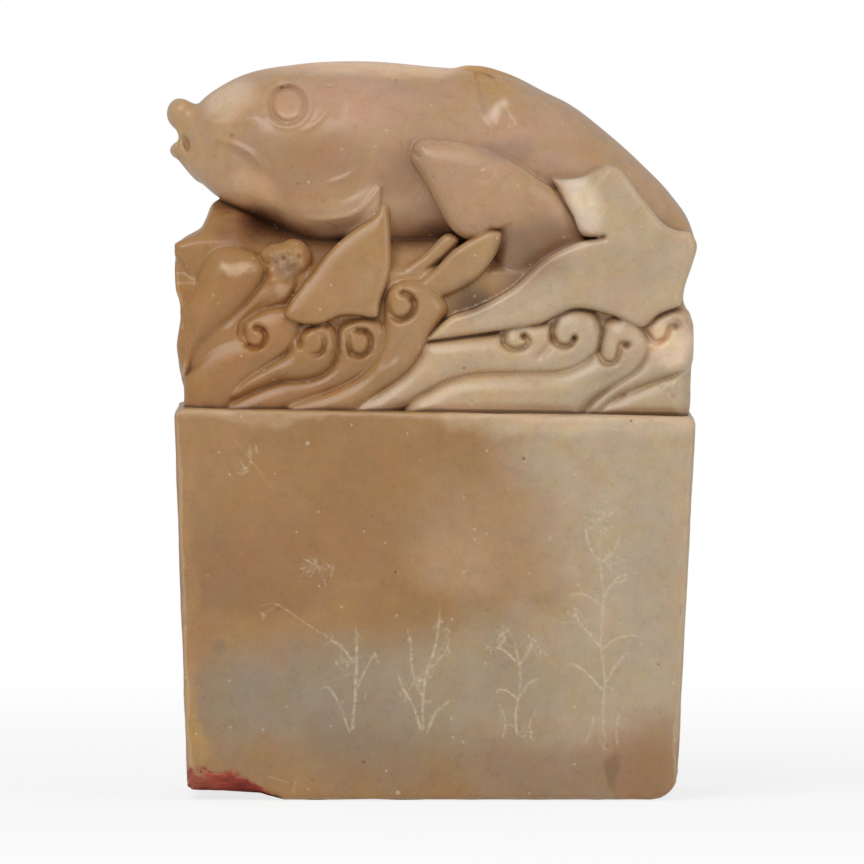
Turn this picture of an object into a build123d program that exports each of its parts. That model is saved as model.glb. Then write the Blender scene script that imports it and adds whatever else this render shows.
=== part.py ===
from build123d import *
import os
from math import sqrt

# Seal stamp cut from one soapstone, in millimetres. Z is up, the front looks along -Y, and the origin is the
# middle of the seal face. Below is a block that widens upwards, with the seal face cut into its underside.
# Above its ledge stands the knob: a carp with its head to the left, a small fish before its flank, its broken
# tail fin swept round to the front, and a bank of curling waves under them.
#
# Outlines are drawn on the photograph's columns and rows. Columns scale with the ledge's width, and rows with
# the carving's height. Depths are real sizes, counted from the middle of the stone.

# The stone
ledge_width = 51.9
ledge_depth = 30.0
base_width = 48.0
base_depth = 28.4
block_height = 39.0
carving_height = 34.9
upright_edge_round = 1.6
ledge_round = 0.7
base_round = 0.4

# The photograph's frame: columns run right and rows run down
ledge_left_col = 178
ledge_right_col = 697
base_left_col = 190
base_right_col = 670
middle_col = 432.3
ledge_row = 410
top_row = 61
across = ledge_width / (ledge_right_col - ledge_left_col)
upward = carving_height / (ledge_row - top_row)

# The seal face: a frame round a lattice of lozenges, cut as grooves
face_margin = 2.2
face_depth = 1.2
frame_groove = 0.9
frame_land = 1.1
lattice_groove = 0.8
lattice_columns = 6
lattice_rows = 4
dot_radius = 0.6
paste_thickness = 0.15

# The chip in the front left corner of the base
chip_width = 9.5
chip_height = 2.4
chip_depth = 3.2
chip_width_shares = (1.0, 0.82, 0.48, 0.2)
chip_height_shares = (0.0, 0.35, 0.62, 0.95)

# The carving's depths, from the middle of the stone
wave_setback = 0.8
wave_thickness = 3.6
hook_groove = 0.55
hook_depth = 1.5
tail_seat = 6.0
front_plane = ledge_depth / 2 - wave_setback
bank_half_depth = front_plane - wave_thickness

# The fish
carp_half_thickness = 11.0
gill_thickness = 0.5
eye_radius = 1.45
eye_groove = 0.5
eye_groove_depth = 0.4
lip_radius = 1.05
lip_half_thickness = 2.9
lip_round = 0.6
dorsal_thickness = 3.2
small_half_thickness = 3.9
small_setback = 0.7
small_near_fin_thickness = 3.1
small_far_fin_thickness = 1.9

cut_overrun = 1.0

# The carp, from mouth to tail: column, top row, bottom row
carp_sections = (
    (187, 108, 154),
    (213, 93, 186),
    (250, 73, 212),
    (300, 64, 233),
    (360, 62, 245),
    (430, 67, 258),
    (500, 74, 262),
    (560, 98, 262),
    (615, 139, 262),
    (660, 186, 258),
    (693, 229, 252),
)
carp_thickness_shares = (0.3, 0.66, 0.88, 0.98, 1.0, 0.96, 0.9, 0.8, 0.66, 0.48, 0.28)
upper_lip = (178.5, 113)
lower_lip = (180, 147)
carp_eye = (287.8, 104.6)

gill_cover_outline = (
    (305, 214), (335, 219), (362, 209), (379, 188), (381, 160), (368, 134), (340, 122), (312, 134),
    (297, 160), (291, 190),
)
dorsal_outline = ((448, 78), (462, 69), (476, 66), (503, 70), (535, 84), (552, 98), (520, 96), (480, 88))

carp_fin_outline = (
    (372, 218), (382, 200), (388, 212), (390, 250), (390, 272), (380, 300), (377, 316), (360, 314),
    (340, 315), (322, 322), (303, 322), (287, 314), (295, 296), (313, 273), (330, 251), (352, 234),
)

# The tail fin: the upper lobe ends in a broken face, and the lower lobe tapers to a tip on the left
tail_left_points = ((605, 236), (578, 242), (542, 260), (511, 289), (475, 307), (449, 317), (431, 337))
tail_lower_points = (
    (431, 337), (469, 333), (503, 328), (538, 322), (556, 315), (578, 307), (612, 314), (641, 325),
    (660, 313), (681, 306),
)
tail_right_points = ((681, 306), (686, 285), (693, 263), (697, 242), (690, 232))
tail_top_points = ((690, 232), (655, 216), (632, 190), (613, 166))
tail_break_points = ((613, 166), (584, 176), (553, 181), (562, 200), (573, 218), (588, 232), (605, 236))

# The small fish, from mouth to tail: column, row, half height
small_sections = (
    (414, 146, 6),
    (432, 161, 21),
    (463, 183, 38),
    (497, 205, 45),
    (525, 230, 45),
    (549, 258, 39),
    (566, 287, 26),
)
small_thickness_shares = (0.3, 0.62, 0.88, 1.0, 0.98, 0.86, 0.62)
small_near_fin_outline = (
    (479, 236), (497, 250), (484, 270), (466, 286), (442, 295), (421, 283), (437, 267), (458, 247),
)
small_far_fin_outline = (
    (446, 234), (459, 240), (446, 256), (425, 272), (404, 286), (392, 290), (397, 272), (424, 253),
)

# The bank: its outline down the left side, over the top, and down the right side
bank_left_points = (
    (180, 410), (184, 394), (179, 368), (177, 345), (180, 318), (179, 301), (175, 285), (175, 244),
)
bank_top_points = (
    (175, 244), (184, 238), (200, 231), (215, 206), (240, 218), (300, 236), (420, 242), (688, 238),
)
bank_right_points = (
    (688, 238), (688, 262), (683, 290), (687, 318), (692, 345), (688, 380), (690, 398), (693, 410),
)

# The waves on the front, each cut by the ones before it
front_waves = {
    "left_crest": (
        (217, 251), (240, 251), (259, 260), (265, 272), (250, 297), (226, 323), (200, 350), (184, 372),
        (178, 345), (182, 318), (198, 290), (202, 268),
    ),
    "crest_fold": (
        (275, 268), (294, 272), (296, 288), (284, 304), (265, 308), (246, 323), (238, 338), (217, 343),
        (198, 359), (187, 376), (183, 366), (200, 340), (235, 310), (258, 285),
    ),
    "foam_cluster": (
        (264, 258), (268, 247), (283, 242), (299, 246), (306, 259), (300, 272), (285, 277), (270, 271),
    ),
    "middle_curl": (
        (298, 332), (313, 325), (328, 331), (335, 345), (331, 360), (322, 372), (300, 378), (278, 379),
        (255, 388), (236, 397), (226, 396), (244, 378), (268, 364), (292, 349),
    ),
    "left_curl": (
        (246, 323), (265, 311), (285, 308), (300, 318), (297, 334), (288, 350), (262, 368), (240, 385),
        (230, 402), (210, 408), (190, 406), (184, 394), (187, 378), (200, 360), (220, 344), (240, 338),
    ),
    "tall_curl": (
        (389, 300), (396, 288), (414, 284), (434, 292), (445, 307), (438, 322), (428, 338), (421, 354),
        (406, 373), (380, 391), (350, 403), (310, 408), (290, 404), (330, 390), (365, 372), (384, 345),
        (388, 320),
    ),
    "small_curl": (
        (339, 328), (355, 319), (376, 321), (385, 338), (380, 358), (350, 381), (300, 400), (255, 407),
        (232, 405), (250, 392), (280, 381), (315, 377), (333, 364), (337, 345),
    ),
    "high_wave": (
        (428, 341), (465, 337), (497, 335), (508, 326), (528, 323), (548, 320), (560, 313), (576, 309),
        (592, 314), (599, 331), (594, 352), (578, 365), (556, 372), (515, 373), (473, 374), (449, 380),
        (426, 391), (400, 406), (360, 408), (384, 391), (407, 373), (420, 355),
    ),
    "low_wave": (
        (600, 338), (608, 322), (627, 318), (642, 331), (648, 350), (632, 370), (606, 386), (586, 404),
        (560, 409), (500, 409), (440, 409), (408, 407), (428, 392), (450, 380), (476, 374), (520, 373),
        (558, 371), (582, 364), (597, 352),
    ),
    "edge_wave": (
        (645, 327), (657, 315), (677, 309), (691, 320), (694, 345), (689, 364), (669, 375), (645, 383),
        (615, 398), (592, 408), (594, 399), (612, 384), (638, 366), (648, 347),
    ),
    "foot_wave": (
        (592, 409), (617, 398), (647, 385), (670, 376), (688, 371), (687, 388), (684, 402), (668, 409),
        (630, 410),
    ),
}

# How far each wave's face stands back, as a share of the waves' thickness
wave_setback_shares = {
    "left_crest": 0.0,
    "crest_fold": 0.3,
    "foam_cluster": 0.1,
    "middle_curl": 0.05,
    "left_curl": 0.12,
    "tall_curl": 0.0,
    "small_curl": 0.2,
    "high_wave": 0.05,
    "low_wave": 0.0,
    "edge_wave": 0.1,
    "foot_wave": 0.2,
    "swell": 0.1,
}

# The carved hook in each curl: column and row of its middle, radius in columns, start and sweep in degrees
curl_hooks = {
    "left_curl": ((257, 338, 11, -60, 150),),
    "middle_curl": ((312, 341, 11, 190, 200),),
    "small_curl": ((361, 341, 11, -110, 170),),
    "tall_curl": ((400, 305, 11, -120, 165),),
    "high_wave": ((514, 338, 9, -110, 190), (567, 336, 9, 170, 210)),
    "low_wave": ((610, 353, 9, -60, 110),),
    "edge_wave": ((657, 331, 12, 170, 180),),
}

# The waves on the back: a long swell, and the front's waves mirrored through the stone
swell_outline = (
    (432, 336), (455, 305), (490, 282), (530, 262), (575, 246), (625, 240), (668, 244), (688, 258),
    (685, 285), (668, 303), (630, 306), (585, 304), (545, 312), (500, 326), (462, 335),
)
mirrored_waves = (
    "left_crest", "middle_curl", "left_curl", "tall_curl", "small_curl", "high_wave", "low_wave", "edge_wave",
    "foot_wave",
)


def place(col, row):
    """A point of the photograph as (x, z)."""
    return ((col - middle_col) * across, block_height + (ledge_row - row) * upward)


def smooth_outline(points):
    """A closed curve through points of the photograph."""
    return Spline(*[place(*point) for point in points], periodic=True, mode=Mode.PRIVATE)


def jointed_outline(*stretches):
    """Curves that meet in corners, closed by a straight line."""
    curves = [Spline(*[place(*point) for point in stretch], mode=Mode.PRIVATE) for stretch in stretches]
    if stretches[-1][-1] != stretches[0][0]:
        curves.append(Line(place(*stretches[-1][-1]), place(*stretches[0][0]), mode=Mode.PRIVATE))
    return curves


def cut_away(*names):
    """Takes finished pieces out of the one being built, so that the two meet face to face."""
    for name in names:
        add(pieces[name], mode=Mode.SUBTRACT)


def finish(part, name):
    """Labels the largest solid of a built piece and keeps it."""
    solid = part.solids().sort_by(SortBy.VOLUME)[-1]
    solid.label = name
    pieces[name] = solid


def carp_form(skin):
    """The carp's body with its skin moved outwards, as a loft through upright ellipses."""
    with BuildPart() as form:
        for (col, top, bottom), share in zip(carp_sections, carp_thickness_shares):
            x, high = place(col, top)
            low = place(col, bottom)[1]
            middle = (high + low) / 2
            with BuildSketch(Plane(origin=(x, 0, middle), x_dir=(0, 1, 0), z_dir=(1, 0, 0))):
                Ellipse(share * carp_half_thickness + skin, (high - low) / 2 + skin)
        loft()
    return form.part


def flank_plane(col, row, side):
    """The plane that touches the carp's flank at a point of the photograph; side is -1 in front."""
    behind = max(i for i, section in enumerate(carp_sections) if section[0] <= col)
    part_way = (col - carp_sections[behind][0]) / (carp_sections[behind + 1][0] - carp_sections[behind][0])

    def between(values):
        return values[behind] + (values[behind + 1] - values[behind]) * part_way

    x, z = place(col, row)
    high = place(col, between([section[1] for section in carp_sections]))[1]
    low = place(col, between([section[2] for section in carp_sections]))[1]
    half_height = (high - low) / 2
    half_thickness = between(carp_thickness_shares) * carp_half_thickness
    above = z - (high + low) / 2
    y = half_thickness * sqrt(1 - (above / half_height) ** 2)
    normal = (0, side * y / half_thickness**2, above / half_height**2)
    return Plane(origin=(x, side * y, z), x_dir=(1, 0, 0), z_dir=normal)


pieces = {}
base_middle = ((base_left_col + base_right_col) / 2 - middle_col) * across
ledge_middle = ((ledge_left_col + ledge_right_col) / 2 - middle_col) * across
base_left = base_middle - base_width / 2
chip_points = [
    (base_left + width_share * chip_width, height_share * chip_height)
    for width_share, height_share in zip(chip_width_shares, chip_height_shares)
]

# Seal face: a grooved frame round a lattice of lozenges, each with a drilled dot
lattice_width = base_width - 2 * (face_margin + frame_groove + frame_land)
lattice_depth = base_depth - 2 * (face_margin + frame_groove + frame_land)
cell_width = lattice_width / lattice_columns
cell_depth = lattice_depth / lattice_rows
side_distance = cell_width * cell_depth / 2 / sqrt(cell_width**2 + cell_depth**2)
lozenge_share = 1 - lattice_groove / 2 / side_distance
lozenge_points = [
    (lozenge_share * cell_width / 2, 0),
    (0, lozenge_share * cell_depth / 2),
    (-lozenge_share * cell_width / 2, 0),
    (0, -lozenge_share * cell_depth / 2),
]
with BuildSketch(Plane.XY) as lattice:
    Rectangle(lattice_width, lattice_depth)
    with GridLocations(cell_width, cell_depth, lattice_columns + 1, lattice_rows + 1):
        Polygon(*lozenge_points, align=None, mode=Mode.SUBTRACT)
    with GridLocations(cell_width, cell_depth, lattice_columns, lattice_rows):
        Polygon(*lozenge_points, align=None, mode=Mode.SUBTRACT)
        Circle(dot_radius)
with BuildSketch(Plane.XY) as face_grooves:
    with Locations((base_middle, 0)):
        Rectangle(base_width - 2 * face_margin, base_depth - 2 * face_margin)
        Rectangle(lattice_width + 2 * frame_land, lattice_depth + 2 * frame_land, mode=Mode.SUBTRACT)
        add(lattice.sketch)

# Block
with BuildPart() as seal_block:
    with BuildSketch(Plane.XY):
        with Locations((base_middle, 0)):
            RectangleRounded(base_width, base_depth, upright_edge_round)
    with BuildSketch(Plane.XY.offset(block_height)):
        with Locations((ledge_middle, 0)):
            RectangleRounded(ledge_width, ledge_depth, upright_edge_round)
    loft()
    fillet(seal_block.faces().sort_by(Axis.Z)[-1].edges(), ledge_round)
    fillet(seal_block.faces().sort_by(Axis.Z)[0].edges(), base_round)
    add(face_grooves.sketch)
    extrude(amount=face_depth, mode=Mode.SUBTRACT)
    with BuildSketch(Plane.XZ.offset(base_depth / 2 + cut_overrun)) as chip:
        with BuildLine():
            Polyline(
                (base_left - cut_overrun, -cut_overrun),
                (base_left + chip_width, -cut_overrun),
                *chip_points,
                (base_left - cut_overrun, chip_height),
                close=True,
            )
        make_face()
    extrude(amount=-chip_depth - cut_overrun, mode=Mode.SUBTRACT)
finish(seal_block.part, "seal_block")

# Seal paste: a film at the bottom of the grooves, and what was smeared into the chip
smear_points = [(x, z - paste_thickness) for x, z in reversed(chip_points[1:])]
with BuildPart() as seal_paste:
    with BuildSketch(Plane.XY.offset(face_depth - paste_thickness)):
        add(face_grooves.sketch)
    extrude(amount=paste_thickness)
    with BuildSketch(Plane.XZ.offset(base_depth / 2 - base_round)):
        with BuildLine():
            Polyline(*chip_points, *smear_points, close=True)
        make_face()
    extrude(amount=-chip_depth + base_round + paste_thickness)
seal_paste.part.label = "seal_paste"
pieces["seal_paste"] = seal_paste.part

# Carp: the body, with a ring cut round each eye
carp_core = carp_form(0)
carp_skin = carp_form(gill_thickness)
with BuildPart() as carp_body:
    add(carp_core)
    for side in (-1, 1):
        with BuildSketch(flank_plane(*carp_eye, side).offset(-eye_groove_depth)):
            Circle(eye_radius + eye_groove)
            Circle(eye_radius, mode=Mode.SUBTRACT)
        extrude(amount=eye_groove_depth + cut_overrun, mode=Mode.SUBTRACT)
finish(carp_body.part, "carp_body")

# Lips: two rounded rolls on the flat end of the mouth
mouth_x = place(carp_sections[0][0], 0)[0]
for name, lip in (("upper_lip", upper_lip), ("lower_lip", lower_lip)):
    x, z = place(*lip)
    with BuildPart() as lip_roll:
        with BuildSketch(Plane.XZ.offset(-lip_half_thickness)):
            with Locations((x, z)):
                Circle(lip_radius)
                Rectangle(mouth_x - x, 2 * lip_radius, align=(Align.MIN, Align.CENTER))
            with Locations((mouth_x, z)):
                Rectangle(lip_radius, 2 * lip_radius, align=(Align.MIN, Align.CENTER), mode=Mode.SUBTRACT)
        extrude(amount=2 * lip_half_thickness)
        fillet(lip_roll.edges().filter_by(GeomType.CIRCLE), lip_round)
    finish(lip_roll.part, name)

# Gill covers: thin plates that lie on the flanks
gill_cover_line = smooth_outline(gill_cover_outline)
for side, place_name in ((-1, "front"), (1, "back")):
    with BuildPart() as gill_cover:
        with BuildSketch(Plane.XZ):
            make_face(gill_cover_line)
        extrude(amount=-side * (carp_half_thickness + cut_overrun))
        add(carp_skin, mode=Mode.INTERSECT)
        add(carp_core, mode=Mode.SUBTRACT)
    finish(gill_cover.part, place_name + "_gill_cover")

# Dorsal fin: a low ridge, worn down
dorsal_line = smooth_outline(dorsal_outline)
with BuildPart() as dorsal_fin:
    with BuildSketch(Plane.XZ.offset(-dorsal_thickness / 2)):
        make_face(dorsal_line)
    extrude(amount=dorsal_thickness)
    cut_away("carp_body")
finish(dorsal_fin.part, "carp_dorsal_fin")

# Small fish: its own axis runs down to the right, and its near side stands just behind the front plane
small_near_side = front_plane - small_setback
small_places = [place(col, row) for col, row, half_height in small_sections]
with BuildPart() as small_fish:
    for number, (section, share) in enumerate(zip(small_sections, small_thickness_shares)):
        x, z = small_places[number]
        before = small_places[max(number - 1, 0)]
        after = small_places[min(number + 1, len(small_places) - 1)]
        half_thickness = share * small_half_thickness
        middle = (x, half_thickness - small_near_side, z)
        along = (after[0] - before[0], 0, after[1] - before[1])
        with BuildSketch(Plane(origin=middle, x_dir=(0, 1, 0), z_dir=along)):
            Ellipse(half_thickness, section[2] * across)
    loft()
    cut_away("carp_body")
finish(small_fish.part, "small_fish_body")

# Tail fin: swept round from the carp's tail to the front
tail_line = jointed_outline(
    tail_left_points, tail_lower_points, tail_right_points, tail_top_points, tail_break_points
)
with BuildPart() as tail_fin:
    with BuildSketch(Plane.XZ.offset(tail_seat)):
        make_face(tail_line)
    extrude(amount=front_plane - tail_seat)
    cut_away("carp_body", "small_fish_body")
finish(tail_fin.part, "carp_tail_fin")

# Side fins: the carp's two, and the small fish's two, which lie one behind the other
carp_fin_line = smooth_outline(carp_fin_outline)
for side, place_name in ((-1, "front"), (1, "back")):
    with BuildPart() as side_fin:
        with BuildSketch(Plane.XZ.offset(-side * bank_half_depth)):
            make_face(carp_fin_line)
        extrude(amount=-side * wave_thickness)
        cut_away("carp_body", place_name + "_gill_cover")
    finish(side_fin.part, place_name + "_side_fin")

small_fins = (
    ("small_fish_near_fin", small_near_fin_outline, small_near_fin_thickness),
    ("small_fish_far_fin", small_far_fin_outline, small_far_fin_thickness),
)
for name, outline, thickness in small_fins:
    small_fin_line = smooth_outline(outline)
    with BuildPart() as small_fin:
        with BuildSketch(Plane.XZ.offset(bank_half_depth)):
            make_face(small_fin_line)
        extrude(amount=thickness)
        cut_away("carp_body", "small_fish_body", "front_side_fin", "carp_tail_fin")
        if name != "small_fish_near_fin":
            cut_away("small_fish_near_fin")
    finish(small_fin.part, name)

# Waves on the front
front_neighbours = [
    "carp_body",
    "small_fish_body",
    "carp_tail_fin",
    "front_side_fin",
    "small_fish_near_fin",
    "small_fish_far_fin",
]
for name, outline in front_waves.items():
    thickness = wave_thickness * (1 - wave_setback_shares[name])
    wave_line = smooth_outline(outline)
    hook_lines = [
        CenterArc(place(col, row), radius * across, start, sweep)
        for col, row, radius, start, sweep in curl_hooks.get(name, ())
    ]
    with BuildPart() as wave:
        with BuildSketch(Plane.XZ.offset(bank_half_depth)):
            make_face(wave_line)
        extrude(amount=thickness)
        if hook_lines:
            with BuildSketch(Plane.XZ.offset(bank_half_depth + thickness)):
                trace(hook_lines, line_width=hook_groove)
            extrude(amount=-hook_depth, mode=Mode.SUBTRACT)
        cut_away("seal_block", *front_neighbours)
    finish(wave.part, name)
    front_neighbours.append(name)

# Bank: the stone between front and back waves, under the fish
bank_line = jointed_outline(bank_left_points, bank_top_points, bank_right_points)
with BuildPart() as wave_bank:
    with BuildSketch(Plane.XZ.offset(-bank_half_depth)):
        make_face(bank_line)
    extrude(amount=2 * bank_half_depth)
    cut_away("seal_block", "carp_body", "small_fish_body", "carp_tail_fin")
    cut_away("front_gill_cover", "back_gill_cover")
finish(wave_bank.part, "wave_bank")

# Waves on the back
back_neighbours = ["carp_body", "back_side_fin", "back_gill_cover"]
back_outlines = {"swell": swell_outline} | {name: front_waves[name] for name in mirrored_waves}
for name, outline in back_outlines.items():
    wave_line = smooth_outline(outline)
    with BuildPart() as wave:
        with BuildSketch(Plane.XZ.offset(-bank_half_depth)):
            make_face(wave_line)
        extrude(amount=-wave_thickness * (1 - wave_setback_shares[name]))
        cut_away("seal_block", *back_neighbours)
    finish(wave.part, "back_" + name)
    back_neighbours.append("back_" + name)

os.makedirs("parts", exist_ok=True)
for name, piece in pieces.items():
    export_step(piece, f"parts/{name}.step")
    print(name, round(piece.volume, 2), piece.is_valid, len(piece.solids()))
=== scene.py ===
import math

import bpy
import numpy as np
from mathutils.geometry import delaunay_2d_cdt, tessellate_polygon
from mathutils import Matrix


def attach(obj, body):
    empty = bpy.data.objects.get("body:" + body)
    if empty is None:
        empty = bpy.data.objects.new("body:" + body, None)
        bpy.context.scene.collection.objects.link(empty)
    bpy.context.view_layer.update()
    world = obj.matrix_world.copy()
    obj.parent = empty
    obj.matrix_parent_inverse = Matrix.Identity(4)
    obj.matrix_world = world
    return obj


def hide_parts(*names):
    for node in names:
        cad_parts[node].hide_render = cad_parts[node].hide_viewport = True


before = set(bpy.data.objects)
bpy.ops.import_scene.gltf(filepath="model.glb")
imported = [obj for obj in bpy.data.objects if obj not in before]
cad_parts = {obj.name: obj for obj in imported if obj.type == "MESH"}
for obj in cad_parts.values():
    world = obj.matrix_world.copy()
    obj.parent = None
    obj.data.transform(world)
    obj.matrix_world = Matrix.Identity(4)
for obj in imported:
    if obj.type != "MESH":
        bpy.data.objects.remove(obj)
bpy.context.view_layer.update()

print("frame loaded:", len(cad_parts), "nodes")

# The stone is sculpted in millimetres, with z up and the front looking along -y. Outlines are written in the
# photograph's columns and rows, and onStone() turns them into x and z.
photo = {"middleCol": 432.3, "ledgeRow": 410.0, "ledgeHeight": 39.0, "mmPerPixel": 0.1}
millimetre = 0.001


def camel(words):
    # seal_block as sealBlock
    first, *others = words.split("_")
    return first + "".join(word.capitalize() for word in others)


def addObject(name, data=None):
    made = bpy.data.objects.new(name, bpy.data.meshes.new(name) if data is None else data)
    bpy.context.scene.collection.objects.link(made)
    return made


def setMark(piece, label, values):
    # a value at each point, which the materials read
    layer = piece.data.attributes.new(label, "FLOAT", "POINT")
    layer.data.foreach_set("value", values.astype(np.float32))


def onStone(points):
    p = np.asarray(points, float)
    x = (p[..., 0] - photo["middleCol"]) * photo["mmPerPixel"]
    z = photo["ledgeHeight"] + (photo["ledgeRow"] - p[..., 1]) * photo["mmPerPixel"]
    return np.stack([x, z], -1)


def bend(points, closed=True, perSpan=6):
    # a smooth curve through points of the photograph, as x and z
    p = onStone(points)
    if closed:
        a, b, c, d = np.roll(p, 1, 0), p, np.roll(p, -1, 0), np.roll(p, -2, 0)
    else:
        longer = np.vstack([2 * p[0] - p[1], p, 2 * p[-1] - p[-2]])
        a, b, c, d = longer[:-3], longer[1:-2], longer[2:-1], longer[3:]
    t = (np.arange(perSpan) / perSpan)[:, None, None]
    curve = 0.5 * (2 * b + (c - a) * t + (2 * a - 5 * b + 4 * c - d) * t**2 + (3 * b - a - 3 * c + d) * t**3)
    curve = curve.transpose(1, 0, 2).reshape(-1, 2)
    return curve if closed else np.vstack([curve, p[-1:]])


def onPhoto(points):
    # the way back from x and z
    return [(x / photo["mmPerPixel"] + photo["middleCol"],
             photo["ledgeRow"] - (z - photo["ledgeHeight"]) / photo["mmPerPixel"]) for x, z in points]


def corners(*stretches):
    # smooth stretches that meet in corners, as one closed outline
    return np.vstack([bend(stretch, closed=False)[:-1] for stretch in stretches])


def areaDistance(loop, atX, atZ):
    # distance to a closed outline, negative inside
    best = np.full(np.broadcast_shapes(atX.shape, atZ.shape), 1e9)
    flip = np.zeros(best.shape, bool)
    for (ax, az), (bx, bz) in zip(loop, np.roll(loop, -1, 0)):
        ex, ez, wx, wz = bx - ax, bz - az, atX - ax, atZ - az
        t = np.clip((wx * ex + wz * ez) / (ex * ex + ez * ez + 1e-12), 0, 1)
        best = np.minimum(best, (wx - ex * t) ** 2 + (wz - ez * t) ** 2)
        above, below, left = atZ >= az, atZ < bz, ex * wz > ez * wx
        flip ^= (above & below & left) | ~(above | below | left)
    return np.where(flip, -1, 1) * np.sqrt(best)


def lineDistance(line, atX, atZ):
    # distance to an open line, and how far along it the nearest point lies, from 0 to 1
    best = np.full(np.broadcast_shapes(atX.shape, atZ.shape), 1e9)
    along = np.zeros(best.shape)
    spans = np.hypot(*np.diff(line, axis=0).T)
    starts = np.concatenate([[0], np.cumsum(spans)])
    for (ax, az), (bx, bz), span, start in zip(line[:-1], line[1:], spans, starts):
        ex, ez, wx, wz = bx - ax, bz - az, atX - ax, atZ - az
        t = np.clip((wx * ex + wz * ez) / (ex * ex + ez * ez + 1e-12), 0, 1)
        d = (wx - ex * t) ** 2 + (wz - ez * t) ** 2
        nearer = d < best
        best = np.where(nearer, d, best)
        along = np.where(nearer, (start + t * span) / starts[-1], along)
    return np.sqrt(best), along


def ease(low, high, value):
    t = np.clip((value - low) / (high - low), 0, 1)
    return t * t * (3 - 2 * t)


def bell(distance, width):
    return np.exp(-((distance / width) ** 2))


def roundMax(a, b, radius):
    # what is inside both, with the edge between them rounded
    return np.hypot(np.maximum(a + radius, 0), np.maximum(b + radius, 0)) + np.minimum(
        np.maximum(a, b) + radius, 0
    ) - radius


def cutLines(lines, atX, atZ):
    # how deep knife lines lie: (points, width, depth, fade); fade names the ends that run out, both if left out
    depth = np.zeros(np.broadcast_shapes(atX.shape, atZ.shape))
    for points, width, deep, *named in lines:
        fade = named[0] if named else "start end"
        path = bend(points, closed=False, perSpan=4)
        d, along = lineDistance(path, atX, atZ)
        strength = np.ones(d.shape)
        if "start" in fade:
            strength *= ease(0, 0.45, along)
        if "end" in fade:
            strength *= ease(0, 0.45, 1 - along)
        depth += deep * strength * bell(d, width)
    return depth


def pits(spots, atX, atZ):
    # drilled pits: (col, row, radius, depth)
    depth = np.zeros(np.broadcast_shapes(atX.shape, atZ.shape))
    for col, row, radius, deep in spots:
        x, z = onStone((col, row))
        depth += deep * bell(np.hypot(atX - x, atZ - z), radius)
    return depth


# the sculpting grid
grid = {
    "across": 0.17,  # mm between samples from left to right and upwards
    "deep": 0.25,  # mm between samples from front to back
    "quickScale": 2.0,
    "low": (-27.3, -15.3, 37.4),
    "high": (27.6, 15.3, 75.0),
    "melt": 0.3,  # mm over which neighbouring forms run into each other
    "far": 9.0,
}
coarser = 1.0
xs, ys, zs = (
    np.arange(low, high, grid[step] * coarser)
    for low, high, step in zip(grid["low"], grid["high"], ("across", "deep", "across"))
)
whole = np.full((len(xs), len(ys), len(zs)), grid["far"], np.float32)
nearest, second = whole.copy(), whole.copy()
owner = np.full(whole.shape, 255, np.uint8)
forms = []


def region(low, high):
    # the part of the grid between two corners, and its coordinates
    cuts = []
    for axis, a, b in zip((xs, ys, zs), low, high):
        first = max(int(np.searchsorted(axis, a)) - 1, 0)
        last = min(int(np.searchsorted(axis, b)) + 1, len(axis))
        cuts.append(slice(first, last))
    return tuple(cuts), xs[cuts[0]][:, None, None], ys[cuts[1]][None, :, None], zs[cuts[2]][None, None, :]


def regionRound(loop, margin, near, far):
    # the same round an outline, between two depths
    low, high = loop.min(0) - margin, loop.max(0) + margin
    return region((low[0], near, low[1]), (high[0], far, high[1]))


def meltIn(box, field):
    # runs a form into the stone
    before, melt = whole[box], np.float32(grid["melt"])
    h = np.clip(0.5 + 0.5 * (before - field) / melt, 0, 1)
    whole[box] = before + (field.astype(np.float32) - before) * h - melt * h * (1 - h)


def claim(name, node, slot, box, field, stride=1):
    # remembers which form owns each place; a form that hardly shows gets a coarser skin
    field = field.astype(np.float32)
    near = nearest[box]
    second[box] = np.minimum(second[box], np.maximum(near, field))
    owner[box] = np.where(field < near, len(forms), owner[box])
    nearest[box] = np.minimum(near, field)
    forms.append({"name": name, "node": node, "slot": slot, "box": box, "field": field, "stride": stride})


def addForm(node, slot, box, field):
    meltIn(box, field)
    claim(camel(node), node, slot, box, field)


def smoothTable(at, places, values):
    # a smooth curve through a table
    places, values = np.asarray(places, float), np.asarray(values, float)
    slopes = np.gradient(values, places)
    i = np.clip(np.searchsorted(places, at) - 1, 0, len(places) - 2)
    span = places[i + 1] - places[i]
    t = np.clip((at - places[i]) / span, 0, 1)
    a, b = values[i], values[i + 1]
    return (
        (2 * t**3 - 3 * t**2 + 1) * a + (t**3 - 2 * t**2 + t) * span * slopes[i]
        + (3 * t**2 - 2 * t**3) * b + (t**3 - t**2) * span * slopes[i + 1]
    )


def unevenness(size, seed):
    # soft noise between about -1 and 1, in lumps of a given size in mm
    weights, counts = [], []
    for axis, low, high in zip((xs, ys, zs), grid["low"], grid["high"]):
        count = int((high - low) / size) + 4
        at = (axis - low) / size + 1
        cell = np.floor(at).astype(int)
        t = at - cell
        w = np.zeros((len(axis), count))
        rows = np.arange(len(axis))
        for offset, part in zip((-1, 0, 1, 2), (
            (1 - t) ** 3 / 6, (3 * t**3 - 6 * t**2 + 4) / 6, (-3 * t**3 + 3 * t**2 + 3 * t + 1) / 6, t**3 / 6,
        )):
            w[rows, np.clip(cell + offset, 0, count - 1)] += part
        weights.append(w.astype(np.float32))
        counts.append(count)
    lumps = np.random.default_rng(seed).uniform(-2.2, 2.2, counts).astype(np.float32)
    lumps = np.tensordot(weights[0], lumps, (1, 0))
    lumps = np.tensordot(lumps, weights[1], (1, 1))
    return np.tensordot(lumps, weights[2], (1, 1))


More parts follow.
